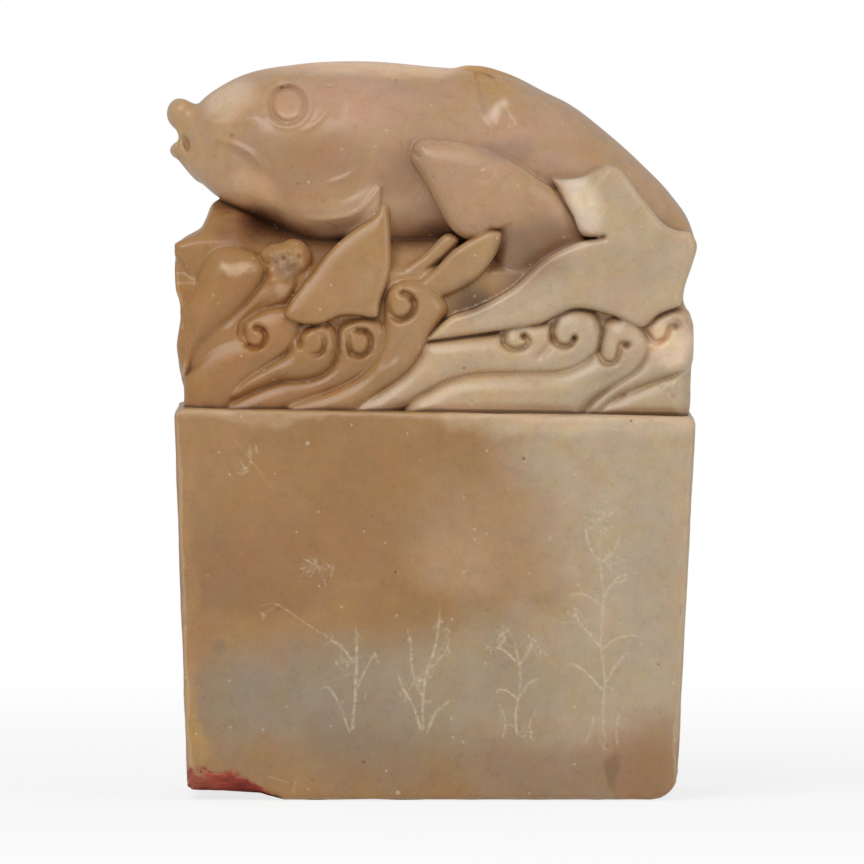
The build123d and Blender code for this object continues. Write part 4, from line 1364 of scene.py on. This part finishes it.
def calc(tree, operation, *values, clamp=False):
    return addNode(tree, "ShaderNodeMath", dict(enumerate(values)), operation=operation, use_clamp=clamp).outputs[0]


def makeStudTree():
    tree = bpy.data.node_groups.new("studGrid", "GeometryNodeTree")
    for label, kind in (
        ("Columns", "Int"), ("Rows", "Int"), ("Cell Width", "Float"), ("Cell Depth", "Float"),
        ("Stud Width", "Float"), ("Stud Depth", "Float"), ("Height", "Float"), ("Dot Radius", "Float"),
        ("Middle", "Vector"), ("Uneven", "Float"), ("Seed", "Int"), ("Material", "Material"),
    ):
        tree.interface.new_socket(name=label, in_out="INPUT", socket_type="NodeSocket" + kind)
    tree.interface.new_socket(name="Geometry", in_out="OUTPUT", socket_type="NodeSocketGeometry")
    given = tree.nodes.new("NodeGroupInput").outputs

    def node(kind, inputs, **settings):
        return addNode(tree, kind, inputs, **settings)

    def maths(operation, *values):
        return calc(tree, operation, *values)

    four = node("GeometryNodeCurvePrimitiveCircle", {"Resolution": 4, "Radius": 0.5}, mode="RADIUS").outputs[0]
    shape = node("ShaderNodeCombineXYZ", {0: given["Stud Width"], 1: given["Stud Depth"], 2: 1.0}).outputs[0]
    lozenge = node("GeometryNodeTransform", {"Geometry": four, "Scale": shape})
    dot = node("GeometryNodeCurvePrimitiveCircle", {"Resolution": 14, "Radius": given["Dot Radius"]}, mode="RADIUS")
    plain = maths("LESS_THAN", given["Dot Radius"], 0.00001)
    noDot = node("GeometryNodeSwitch", {0: plain, "False": dot.outputs[0]}, input_type="GEOMETRY")
    outline = node("GeometryNodeJoinGeometry", {0: [lozenge.outputs[0], noDot.outputs[0]]})
    filled = node("GeometryNodeFillCurve", {0: outline.outputs[0]}).outputs[0]
    raised = node("GeometryNodeExtrudeMesh", {"Mesh": filled, "Offset Scale": given["Height"], "Individual": False})
    base = node("GeometryNodeFlipFaces", {0: filled}).outputs[0]
    closed = node("GeometryNodeJoinGeometry", {0: [raised.outputs[0], base]})
    stud = node("GeometryNodeMergeByDistance", {"Geometry": closed.outputs[0], "Distance": 0.000001}).outputs[0]
    spanX = maths("MULTIPLY", maths("SUBTRACT", given["Columns"], 1.0), given["Cell Width"])
    spanY = maths("MULTIPLY", maths("SUBTRACT", given["Rows"], 1.0), given["Cell Depth"])
    grid = node("GeometryNodeMeshGrid", {"Size X": spanX, "Size Y": spanY, "Vertices X": given["Columns"],
                                         "Vertices Y": given["Rows"]}).outputs[0]
    smallest = maths("SUBTRACT", 1.0, given["Uneven"])
    size = node("FunctionNodeRandomValue", {2: smallest, 3: 1.0, "Seed": given["Seed"]}, data_type="FLOAT").outputs[1]
    scale = node("ShaderNodeCombineXYZ", {0: size, 1: size, 2: 1.0}).outputs[0]
    turn = node("FunctionNodeRandomValue", {2: maths("MULTIPLY", given["Uneven"], -0.6),
                                            3: maths("MULTIPLY", given["Uneven"], 0.6),
                                            "Seed": maths("ADD", given["Seed"], 1.0)}, data_type="FLOAT").outputs[1]
    spin = node("ShaderNodeCombineXYZ", {2: turn}).outputs[0]
    copies = node("GeometryNodeInstanceOnPoints", {"Points": grid, "Instance": stud, "Scale": scale, "Rotation": spin})
    placed = node("GeometryNodeTransform", {"Geometry": copies.outputs[0], "Translation": given["Middle"]}).outputs[0]
    real = node("GeometryNodeRealizeInstances", {0: placed}).outputs[0]
    coloured = node("GeometryNodeSetMaterial", {"Geometry": real, "Material": given["Material"]}).outputs[0]
    tree.links.new(coloured, tree.nodes.new("NodeGroupOutput").inputs[0])
    return tree


studTree = makeStudTree()


def makeStuds(name, columns, rows, dotRadius, material):
    blank = addObject(name)
    modifier = blank.modifiers.new("studs", "NODES")
    modifier.node_group = studTree
    values = {
        "Columns": columns, "Rows": rows, "Cell Width": sealFace["cellWidth"] * millimetre,
        "Cell Depth": sealFace["cellDepth"] * millimetre, "Stud Width": reachX * 2 * millimetre,
        "Stud Depth": reachY * 2 * millimetre, "Height": sealFace["height"] * millimetre,
        "Dot Radius": dotRadius * millimetre, "Middle": (block["baseMiddle"] * millimetre, 0, 0),
        "Uneven": sealFace["uneven"], "Seed": sealFace["seed"], "Material": material,
    }
    for item in studTree.interface.items_tree:
        if item.in_out == "INPUT":
            modifier[item.identifier] = values[item.name]
    mesh = bpy.data.meshes.new_from_object(blank.evaluated_get(bpy.context.evaluated_depsgraph_get()))
    blank.modifiers.clear()
    at = np.zeros(len(mesh.vertices) * 3, np.float32)
    mesh.vertices.foreach_get("co", at)
    at = at.reshape(-1, 3)
    low = at[:, 2] < 0.0005
    at[low, 2] += wornEnd(at[low] / millimetre) * millimetre
    mesh.vertices.foreach_set("co", at.ravel())
    blank.data = mesh
    print(name, len(mesh.polygons), "faces")
    return blank


# materials
def linear(*values):
    # a colour as written on screen, in scene values
    return tuple((v / 255 / 12.92 if v <= 10 else ((v / 255 + 0.055) / 1.055) ** 2.4) for v in values) + (1.0,)


def newMaterial(name):
    material = bpy.data.materials.new(name)
    material.use_nodes = True
    return material, material.node_tree, material.node_tree.nodes["Principled BSDF"]


def objectPlace(tree):
    return tree.nodes.new("ShaderNodeTexCoord").outputs["Object"]


def markAt(tree, name):
    return addNode(tree, "ShaderNodeAttribute", attribute_name=name).outputs["Fac"]


def vectorCalc(tree, operation, *values, **named):
    node = addNode(tree, "ShaderNodeVectorMath", {**dict(enumerate(values)), **named}, operation=operation)
    return node.outputs["Value" if operation == "LENGTH" else 0]


def mixColour(tree, factor, a, b, mode="MIX"):
    return addNode(tree, "ShaderNodeMix", {0: factor, 6: a, 7: b}, data_type="RGBA", blend_type=mode).outputs[2]


def ramp(tree, value, low, high, start=0.0, end=1.0):
    return addNode(tree, "ShaderNodeMapRange", {0: value, 1: low, 2: high, 3: start, 4: end},
                   interpolation_type="SMOOTHSTEP").outputs[0]


def noiseAt(tree, place, size, detail=3.0, rough=0.55, distortion=0.0):
    # lumps of a given size in mm
    return addNode(tree, "ShaderNodeTexNoise", {
        "Vector": place, "Scale": 1000.0 / size, "Detail": detail, "Roughness": rough, "Distortion": distortion,
    }).outputs["Fac"]


def newGroup(name, inputs, outputs):
    group = bpy.data.node_groups.new(name, "ShaderNodeTree")
    kinds = {"colour": "NodeSocketColor", "value": "NodeSocketFloat"}
    for label, kind, default in inputs:
        socket = group.interface.new_socket(name=label, in_out="INPUT", socket_type=kinds[kind])
        socket.default_value = default
    for label, kind in outputs:
        group.interface.new_socket(name=label, in_out="OUTPUT", socket_type=kinds[kind])
    return group, group.nodes.new("NodeGroupInput").outputs, group.nodes.new("NodeGroupOutput").inputs


# soft patches of colour in the stone, some of them painted shade in recesses and painted highlights on crests, jaw and
# ledge: centre in mm, reach in mm, colour on screen, strength
colourAndLightPatches = [
    ((-13, 0, 9.8), (22, 40, 8.6), (149, 134, 116), 0.95),
    # darker towards the bottom of the block: partly the stone's colour, partly painted shade
    ((-3, 0, 5), (19, 40, 6.5), (148, 128, 105), 0.7),
    ((-18.5, 0, 3.6), (6.5, 40, 3.4), (154, 124, 88), 0.8),
    ((-18, 0, 22.4), (13, 40, 6.0), (155, 116, 78), 2.2),
    ((-24.6, -13, 8.5), (1.8, 8, 7.5), (184, 148, 96), 0.85),
    ((19.5, 0, 36), (16, 40, 15), (184, 164, 138), 0.9),
    ((22, 0, 20), (13, 40, 20), (178, 161, 137), 0.9),
    ((4, 0, 27), (12, 40, 10), (175, 142, 108), 0.75),
    ((-12, 0, 33), (17, 40, 9), (158, 119, 76), 0.6),
    ((4, 0, 12), (19, 40, 9.5), (163, 147, 124), 0.9),
    ((-13, 0, 25.5), (17, 40, 6.5), (158, 118, 80), 0.75),
    ((2, 0, 24), (7, 40, 5), (186, 152, 116), 0.55),
    ((-22.3, -14, 14.7), (0.9, 6, 1.1), (132, 115, 102), 0.5),
    # this and the next: darker towards the bottom of the block, partly the stone's colour, partly painted shade
    ((13, 0, 2), (13.5, 40, 7.5), (147, 119, 93), 0.85),
    ((22.5, 0, 1.5), (7, 40, 11), (150, 112, 78), 0.9),
    ((18.5, -14, 2.2), (0.9, 6, 2.8), (118, 92, 64), 0.55),
    ((25.3, 0, 22), (1.4, 40, 26), (190, 164, 133), 0.6),
    ((-24.6, -13, 22), (1.5, 8, 26), (176, 134, 88), 0.5),
    # the knob
    ((-20.6, -5, 70.2), (3.4, 9, 3.0), (214, 188, 158), 0.85),
    ((-5, 0, 74), (17, 9, 3.2), (232, 195, 162), 0.9),
    ((-13, -10, 63.5), (9, 9, 6), (158, 118, 88), 0.6),
    ((5.5, -3, 72), (4.5, 9, 3.4), (184, 142, 88), 0.9),
    ((6.3, -9, 69.3), (1.3, 5, 1.6), (222, 196, 178), 0.8),
    ((14.6, -13, 59.5), (3.4, 4, 4.6), (224, 206, 188), 0.9),
    ((9.8, -12, 55), (4.8, 6, 5.0), (138, 106, 80), 0.8),
    # this and the next: painted shade in the recesses round the small fish
    ((-0.7, -10, 57.3), (4.4, 7, 3.6), (168, 130, 100), 0.8),
    ((4.8, -11, 50.2), (4.0, 5, 3.0), (104, 78, 56), 0.85),
    ((-25.6, 0, 68), (2.2, 5, 4.2), (190, 158, 114), 0.8),
    ((-22.5, 0, 55), (4.5, 30, 7), (160, 122, 78), 0.6),
    # this and the next: painted highlights on the wave crests
    ((-19.6, -13.8, 54.0), (2.8, 2, 0.9), (208, 176, 146), 0.7),
    ((-15.3, -13, 51.7), (1.7, 2, 1.0), (194, 164, 138), 0.6),
    ((-14.6, -13, 54.2), (2.3, 2.6, 1.9), (146, 118, 92), 0.7),
    # this and the next: painted shade under the jaw and in the bank's recess below it
    ((-19, -9, 57.5), (4.5, 6, 2.4), (132, 92, 68), 0.7),
    ((-12, -8.5, 56), (7, 4, 2.6), (128, 94, 74), 0.7),
    ((23.6, -13, 45.3), (3.2, 3, 2.8), (238, 210, 180), 0.9),
    ((-8, -9, 70), (9, 6, 4), (190, 150, 130), 0.5),
    ((10, -9, 66), (9, 6, 5), (188, 147, 124), 0.4),
    ((6.9, -9, 65.3), (5.5, 6, 2.2), (148, 120, 104), 0.45),
    ((17, -14, 52.5), (8, 6, 5), (174, 152, 128), 0.5),
    ((-17, -10, 66), (5, 6, 4), (168, 136, 114), 0.4),
    # painted light on the jaw, which lies in shade
    ((-18.4, -8, 60.4), (5, 7, 3.4), (206, 165, 130), 0.65),
    ((-10, -13, 43.4), (10, 6, 3.0), (152, 112, 72), 0.5),
    # lighter ledge rim: partly rubbed wear, partly painted highlight
    ((16, -15, 38), (24, 1.6, 1.8), (210, 190, 160), 0.5),
    # this and the next: painted shade in the recess behind the fin and under the jaw
    ((-1, -7, 55.6), (6, 5, 2.4), (112, 86, 68), 0.7),
    ((-16, -6, 57.6), (6.5, 6, 2.6), (118, 80, 60), 0.75),
    ((-3.2, -10, 63), (3.6, 4, 3.6), (148, 110, 82), 0.6),
    # lighter ledge rim: partly rubbed wear, partly painted highlight
    ((0, -15, 38.6), (60, 1.6, 1.0), (204, 172, 140), 0.4),
]


stoneFinish = {
    # tones: the first darkens creases, as grime and painted shade; the second is painted shade in hollows; the third
    # lightens edges, as wear and painted highlight; the fourth is the pale of fresh cuts
    "tones": {
        "Dirt Colour": (92, 64, 47), "Shade Colour": (226, 206, 188), "Rubbed And Highlight Colour": (208, 182, 150),
        "Cut Colour": (214, 196, 166),
    },
    # rub: how strongly edges are lightened, as wear and painted highlight; the two values after it: how strongly
    # hollows and creases are darkened, as painted shade and grime
    "cloud": 0.3, "rub": 0.4, "dirt": 0.8, "pinkDirt": 0.6, "mottleStrength": 0.3, "grainStrength": 0.24,
    # values of a mark or noise at which what it adds starts to show and is there in full
    "rubbedAndLitRange": (0.25, 0.8), "hollowRange": (0.08, 0.8), "grimeAndShadeRange": (0.36, 0.95), "scratchRange": (0.66, 0.72),
    "veilRange": (0.46, 0.62),
    # noise: size in mm, detail, roughness, distortion
    "clouds": (9.0, 4.0, 0.6, 0.6), "mottle": (1.6, 4.0, 0.65, 0.3), "grain": (0.35, 3.0, 0.6),
    "scratches": (2.2, 4.0, 0.7), "sway": (14.0, 3.0, 0.6, 0.5), "crumbs": (1.3, 5.0, 0.7, 0.5),
    "swayReach": 0.022,  # metres by which the three tones of a stone run into each other
    "leftBlend": (-0.02, 0.002), "rightBlend": (0.002, 0.016),  # metres across between which one gives way
    "veils": ((3.6, (1.05, 0.95, 0.88, 1), 0.6), (4.8, (1.0, 1.0, 0.86, 1), 0.8)),  # size in mm, tint, strength
    # scale, radius within and without the soft edge, share of cells left plain, colour, strength
    "specks": (
        (330.0, 0.04, 0.11, 0.88, "Cut Colour", 0.5), (900.0, 0.07, 0.17, 0.8, "Cut Colour", 0.45),
        (300.0, 0.03, 0.07, 0.9, "Dirt Colour", 0.6),
    ),
    "speckWarp": {"scale": 4200.0, "reach": 0.00012}, "scratchStrength": 0.22,
    "glow": 0.25, "glowRadius": (1.0, 0.55, 0.3), "glowScale": 0.0012, "shine": 0.45,
    "bump": 0.35, "bumpDepth": 0.00005,
    "pasteReach": (0.0217, 0.0121), "pasteHeight": 0.0018,  # metres of the seal face that hold old paste
    "pasteStain": (166, 106, 72), "pasteRed": (156, 58, 43), "pasteDark": (124, 44, 36),
}
patchWarp = {"scale": 130.0, "reach": 0.006}  # how unevenly the patches are bounded


def makePatches():
    group, given, result = newGroup("stoneColourAndLightPatches", [("Colour", "colour", (0.5, 0.4, 0.3, 1))], [("Colour", "colour")])
    place = objectPlace(group)
    warp = addNode(group, "ShaderNodeTexNoise", {"Vector": place, "Scale": patchWarp["scale"], "Detail": 3.0})
    warp = vectorCalc(group, "SUBTRACT", warp.outputs["Color"], (0.5, 0.5, 0.5))
    bent = vectorCalc(group, "ADD", place, vectorCalc(group, "SCALE", warp, Scale=patchWarp["reach"]))
    colour = given["Colour"]
    for centre, reach, tone, strength in colourAndLightPatches:
        away = vectorCalc(group, "SUBTRACT", bent, tuple(c * millimetre for c in centre))
        away = vectorCalc(group, "DIVIDE", away, tuple(r * millimetre for r in reach))
        away = vectorCalc(group, "LENGTH", away)
        colour = mixColour(group, ramp(group, away, 1.0, 0.35, 0.0, strength), colour, linear(*tone))
    group.links.new(colour, result["Colour"])
    return group


def makeWearAndShade():
    # clouds, fine grain, painted shade in the hollows, grime and painted shade in the creases, edges lightened as
    # rubbed wear and painted highlight, pale cuts and specks
    group, given, result = newGroup("stoneWear", [
        ("Colour", "colour", (0.5, 0.4, 0.3, 1)), ("Dirt Colour", "colour", (0.1, 0.08, 0.07, 1)),
        ("Rubbed And Highlight Colour", "colour", (0.7, 0.6, 0.5, 1)), ("Cut Colour", "colour", (0.8, 0.7, 0.6, 1)),
        ("Shade Colour", "colour", (0.8, 0.7, 0.6, 1)),
        ("Cloud", "value", 0.5), ("Dirt", "value", 0.7), ("Rub", "value", 0.35),
    ], [("Colour", "colour"), ("Roughness", "value"), ("Height", "value")])
    place = objectPlace(group)
    mark = {name: markAt(group, name) for name in ("hollow", "crease", "edge", "cut")}
    clouds, mottle, grain = (noiseAt(group, place, *stoneFinish[name]) for name in ("clouds", "mottle", "grain"))
    light = 1.0
    for noise, strength in ((clouds, given["Cloud"]), (mottle, stoneFinish["mottleStrength"]),
                            (grain, stoneFinish["grainStrength"])):
        light = calc(group, "MULTIPLY_ADD", calc(group, "SUBTRACT", noise, 0.5), strength, light)
    combine = addNode(group, "ShaderNodeCombineColor", {0: light, 1: light, 2: light}).outputs[0]
    colour = mixColour(group, 1.0, given["Colour"], combine, "MULTIPLY")
    for size, tint, share in stoneFinish["veils"]:
        veil = ramp(group, noiseAt(group, place, size, 3.0, 0.6, 0.9), *stoneFinish["veilRange"], 0.0, share)
        colour = mixColour(group, veil, colour, mixColour(group, 1.0, colour, tint, "MULTIPLY"))
    # edges lighter: partly rubbed wear, partly painted highlight
    rubbedAndLit = calc(group, "ADD", mark["edge"], calc(group, "MULTIPLY_ADD", mottle, 0.5, -0.25))
    rubbedAndLit = calc(group, "MULTIPLY", ramp(group, rubbedAndLit, *stoneFinish["rubbedAndLitRange"]), given["Rub"])
    colour = mixColour(group, rubbedAndLit, colour, given["Rubbed And Highlight Colour"])
    # painted shade in the hollows
    paintedHollowShade = calc(group, "MULTIPLY", ramp(group, mark["hollow"], *stoneFinish["hollowRange"]), given["Dirt"])
    shaded = mixColour(group, 1.0, colour, given["Shade Colour"], "MULTIPLY")
    colour = mixColour(group, paintedHollowShade, colour, shaded)
    # creases darker: partly grime, partly painted shade
    grimeAndShadeMask = calc(group, "MULTIPLY_ADD", mottle, 0.25, mark["crease"])
    grimeAndShadeMask = ramp(group, grimeAndShadeMask, *stoneFinish["grimeAndShadeRange"])
    grimeAndShadeMask = calc(group, "MULTIPLY", calc(group, "MULTIPLY", grimeAndShadeMask, 0.9), given["Dirt"], clamp=True)
    colour = mixColour(group, grimeAndShadeMask, colour, given["Dirt Colour"])
    broken = calc(group, "MULTIPLY", mark["cut"], ramp(group, grain, 0.36, 0.6, 0.3, 0.95))
    colour = mixColour(group, broken, colour, given["Cut Colour"])
    stretch = addNode(group, "ShaderNodeMapping", {
        "Vector": place, "Rotation": (0.3, 0.5, 0.7), "Scale": (1.0, 1.0, 9.0),
    })
    scratches = noiseAt(group, stretch.outputs[0], *stoneFinish["scratches"])
    fresh = ramp(group, scratches, *stoneFinish["scratchRange"])
    fresh = calc(group, "MULTIPLY", fresh, ramp(group, clouds, 0.45, 0.6))
    fresh = calc(group, "MULTIPLY", fresh, stoneFinish["scratchStrength"])
    colour = mixColour(group, fresh, colour, given["Cut Colour"])
    warp = stoneFinish["speckWarp"]
    ragged = addNode(group, "ShaderNodeTexNoise", {"Vector": place, "Scale": warp["scale"]}).outputs["Color"]
    bent = vectorCalc(group, "ADD", place, vectorCalc(group, "SCALE", ragged, Scale=warp["reach"]))
    for scale, small, large, share, tint, strength in stoneFinish["specks"]:
        cells = addNode(group, "ShaderNodeTexVoronoi", {"Vector": bent, "Scale": scale, "Randomness": 1.0})
        lucky = addNode(group, "ShaderNodeSeparateColor", {0: cells.outputs["Color"]}).outputs[0]
        speck = calc(group, "MULTIPLY", ramp(group, cells.outputs["Distance"], large, small),
                     calc(group, "GREATER_THAN", lucky, share))
        colour = mixColour(group, calc(group, "MULTIPLY", speck, strength), colour, given[tint])
    group.links.new(colour, result["Colour"])
    dull = calc(group, "MULTIPLY_ADD", grimeAndShadeMask, 0.25, calc(group, "MULTIPLY_ADD", mottle, 0.24, 0.18))
    group.links.new(dull, result["Roughness"])
    height = calc(group, "MULTIPLY_ADD", grain, 0.35, calc(group, "MULTIPLY", mottle, 0.9))
    height = calc(group, "MULTIPLY_ADD", scratches, 0.35, height)
    group.links.new(height, result["Height"])
    return group


patchGroup, wearAndShadeGroup = makePatches(), makeWearAndShade()
stoneTones = {
    # colours at the left, in the middle and at the right of the stone
    "pink_soapstone": ((184, 148, 112), (180, 145, 115), (180, 147, 115)),
    "amber_soapstone": ((165, 121, 74), (172, 136, 96), (190, 165, 133)),
    "cream_soapstone": ((178, 144, 106), (194, 168, 137), (190, 168, 140)),
    "tan_soapstone": ((165, 127, 85), (160, 122, 78), (182, 160, 134)),
}


def makeStone(slot, dirt, paste=False):
    material, tree, shader = newMaterial(camel(slot))
    left, middle, right = (linear(*tone) for tone in stoneTones[slot])
    place = objectPlace(tree)
    across = addNode(tree, "ShaderNodeSeparateXYZ", {0: place}).outputs[0]
    reach = stoneFinish["swayReach"]
    sway = calc(tree, "MULTIPLY_ADD", noiseAt(tree, place, *stoneFinish["sway"]), reach, -reach / 2)
    across = calc(tree, "ADD", across, sway)
    colour = mixColour(tree, ramp(tree, across, *stoneFinish["leftBlend"]), left, middle)
    colour = mixColour(tree, ramp(tree, across, *stoneFinish["rightBlend"]), colour, right)
    colour = addNode(tree, "ShaderNodeGroup", {"Colour": colour}, node_tree=patchGroup).outputs["Colour"]
    # besides wear, this group paints shade into hollows and creases and highlights onto edges
    wear = addNode(tree, "ShaderNodeGroup", {
        "Colour": colour, "Dirt": dirt, "Cloud": stoneFinish["cloud"], "Rub": stoneFinish["rub"],
        **{label: linear(*tone) for label, tone in stoneFinish["tones"].items()},
    }, node_tree=wearAndShadeGroup)
    finished = wear.outputs["Colour"]
    if paste:
        mark = markAt(tree, "paste")
        crumble = noiseAt(tree, place, *stoneFinish["crumbs"])
        spot = addNode(tree, "ShaderNodeSeparateXYZ", {0: place}).outputs
        (reachX, reachY), height = stoneFinish["pasteReach"], stoneFinish["pasteHeight"]
        under = calc(tree, "MULTIPLY", ramp(tree, spot[2], height, 0.0002, 0.5, 0.8),
                     calc(tree, "LESS_THAN", calc(tree, "ABSOLUTE", spot[1]), reachY))
        under = calc(tree, "MULTIPLY", under, calc(tree, "LESS_THAN", spot[2], height))
        under = calc(tree, "MULTIPLY", under, calc(tree, "LESS_THAN", calc(tree, "ABSOLUTE", spot[0]), reachX))
        mark = calc(tree, "MAXIMUM", mark, under)
        thick = calc(tree, "MULTIPLY_ADD", crumble, 0.9, calc(tree, "SUBTRACT", mark, 0.85))
        stain, red, dark = (linear(*stoneFinish[name]) for name in ("pasteStain", "pasteRed", "pasteDark"))
        finished = mixColour(tree, ramp(tree, thick, -0.2, 0.12, 0.0, 0.6), finished, stain)
        finished = mixColour(tree, ramp(tree, thick, 0.02, 0.5), finished, red)
        flecks = ramp(tree, crumble, 0.5, 0.68, 0.0, ramp(tree, thick, 0.1, 0.3))
        finished = mixColour(tree, flecks, finished, dark)
    tree.links.new(finished, shader.inputs["Base Color"])
    tree.links.new(wear.outputs["Roughness"], shader.inputs["Roughness"])
    bump = addNode(tree, "ShaderNodeBump", {
        "Height": wear.outputs["Height"], "Strength": stoneFinish["bump"], "Distance": stoneFinish["bumpDepth"],
    })
    tree.links.new(bump.outputs[0], shader.inputs["Normal"])
    shader.inputs["Subsurface Weight"].default_value = stoneFinish["glow"]
    shader.inputs["Subsurface Radius"].default_value = stoneFinish["glowRadius"]
    shader.inputs["Subsurface Scale"].default_value = stoneFinish["glowScale"]
    shader.inputs["Specular IOR Level"].default_value = stoneFinish["shine"]
    return material


stones = {
    slot: makeStone(slot, stoneFinish["pinkDirt" if slot == "pink_soapstone" else "dirt"], slot == "tan_soapstone")
    for slot in stoneTones
}
for piece, form in pieces:
    piece.data.materials.append(stones[form["slot"]])
    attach(piece, "root")
    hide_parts(form["node"])
sealBlock.data.materials.append(stones["tan_soapstone"])
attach(sealBlock, "root")
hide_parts("seal_block")


def makePaste():
    material, tree, shader = newMaterial("sealPaste")
    place = objectPlace(tree)
    crumble, grain = (noiseAt(tree, place, *paste[name]) for name in ("crumbs", "grain"))
    cover = markAt(tree, "cover")
    colour = mixColour(tree, ramp(tree, crumble, 0.4, 0.66), linear(*paste["red"]), linear(*paste["darkRed"]))
    colour = mixColour(tree, ramp(tree, grain, 0.58, 0.74, 0.0, 0.35), colour, linear(*paste["paleGrains"]))
    thin = calc(tree, "MULTIPLY_ADD", crumble, 0.5, calc(tree, "SUBTRACT", cover, 0.25))
    across = addNode(tree, "ShaderNodeSeparateXYZ", {0: place}).outputs[0]
    across = calc(tree, "MULTIPLY_ADD", crumble, 0.002, across)
    colour = mixColour(tree, ramp(tree, across, -0.019, -0.023, 0.0, 0.8), colour, linear(*paste["leftEnd"]))
    colour = mixColour(tree, ramp(tree, thin, 0.8, 0.1), colour, linear(*paste["thinEdge"]))
    tree.links.new(colour, shader.inputs["Base Color"])
    tree.links.new(ramp(tree, crumble, 0.3, 0.7, 0.55, 0.85), shader.inputs["Roughness"])
    height = calc(tree, "MULTIPLY_ADD", grain, 0.5, crumble)
    bump = addNode(tree, "ShaderNodeBump", {
        "Height": height, "Strength": paste["bump"], "Distance": paste["bumpDepth"],
    })
    tree.links.new(bump.outputs[0], shader.inputs["Normal"])
    return material


redPaste = makePaste()
for piece in (pasteSmear, pasteFilm):
    piece.data.materials.append(redPaste)
    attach(piece, "root")
    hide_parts("seal_paste")
faceFrame.data.materials.append(stones["tan_soapstone"])
for piece in (
    faceFrame,
    makeStuds("dottedStuds", sealFace["columns"], sealFace["rows"], sealFace["dotRadius"], stones["tan_soapstone"]),
    makeStuds("plainStuds", sealFace["columns"] - 1, sealFace["rows"] - 1, 0.0, stones["tan_soapstone"]),
):
    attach(piece, "root")
    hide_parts("seal_block")
print("materials made")

# floor, light and camera
studio = {
    "distance": 1.6,  # metres from the stone to the camera
    "elevation": 1.6,
    "sensor": 36,
    "frameWidth": 0.0864,  # metres across the photograph at the stone
    "aim": (0.0, -0.0142, 0.0369),
    "daylight": 0.5,
    "floorHalf": 4, "floorTone": (244, 244, 244),
    "whiteness": 0.78,  # how much of the floor's white beside the stone is plain white in the picture
    "whiteBetween": (0.06, 0.3),  # metres from the stone between which it gets wholly white
}
floor = addObject("floor")
half = studio["floorHalf"]
floor.data.from_pydata([(-half, -half, 0), (half, -half, 0), (half, half, 0), (-half, half, 0)], [], [(0, 1, 2, 3)])
paper, tree, shader = newMaterial("floorPaper")
shader.inputs["Base Color"].default_value = linear(*studio["floorTone"])
shader.inputs["Roughness"].default_value = 0.9
glow = addNode(tree, "ShaderNodeEmission", {"Color": (1, 1, 1, 1), "Strength": 1.0})
seen = tree.nodes.new("ShaderNodeLightPath").outputs["Is Camera Ray"]
away = vectorCalc(tree, "LENGTH", objectPlace(tree))
plainWhite = ramp(tree, away, *studio["whiteBetween"], studio["whiteness"], 1.0)
blend = addNode(tree, "ShaderNodeMixShader", {
    0: calc(tree, "MULTIPLY", seen, plainWhite), 1: shader.outputs[0], 2: glow.outputs[0],
})
tree.links.new(blend.outputs[0], tree.nodes["Material Output"].inputs["Surface"])
floor.data.materials.append(paper)

camera = addObject("camera", bpy.data.cameras.new("camera"))
bpy.context.scene.camera = camera
tilt = math.radians(studio["elevation"])
camera.location = np.array(studio["aim"]) + studio["distance"] * np.array([0, -math.cos(tilt), math.sin(tilt)])
camera.rotation_euler = (math.radians(90) - tilt, 0, 0)
camera.data.sensor_width = studio["sensor"]
camera.data.lens = studio["sensor"] * studio["distance"] / studio["frameWidth"]
camera.data.clip_start, camera.data.clip_end = 0.01, 10

world = bpy.data.worlds.new("studio")
bpy.context.scene.world = world
world.use_nodes = True
tree = world.node_tree
sky = tree.nodes["Background"]
sky.inputs["Color"].default_value = (1, 1, 1, 1)
path = tree.nodes.new("ShaderNodeLightPath").outputs
white = calc(tree, "MAXIMUM", path["Is Camera Ray"], path["Is Transmission Ray"])
strength = addNode(tree, "ShaderNodeMapRange", {0: white, 3: studio["daylight"], 4: 1.0}).outputs[0]
tree.links.new(strength, sky.inputs["Strength"])
lamps = {  # place, size in metres, power in watts
    "key": ((-0.25, -0.5, 0.6), 0.45, 2.6),
    "fill": ((0.55, -0.4, 0.3), 0.4, 0.9),
}
for name, (place, size, power) in lamps.items():
    lamp = addObject(name, bpy.data.lights.new(name, "AREA"))
    lamp.data.size, lamp.data.energy = size, power
    lamp.location = place
    toStone = np.array(studio["aim"]) - np.array(place)
    lamp.rotation_euler = (
        math.atan2(math.hypot(toStone[0], toStone[1]), -toStone[2]), 0, math.atan2(toStone[1], toStone[0]) - math.pi / 2
    )
bpy.context.scene.view_settings.view_transform = "Standard"
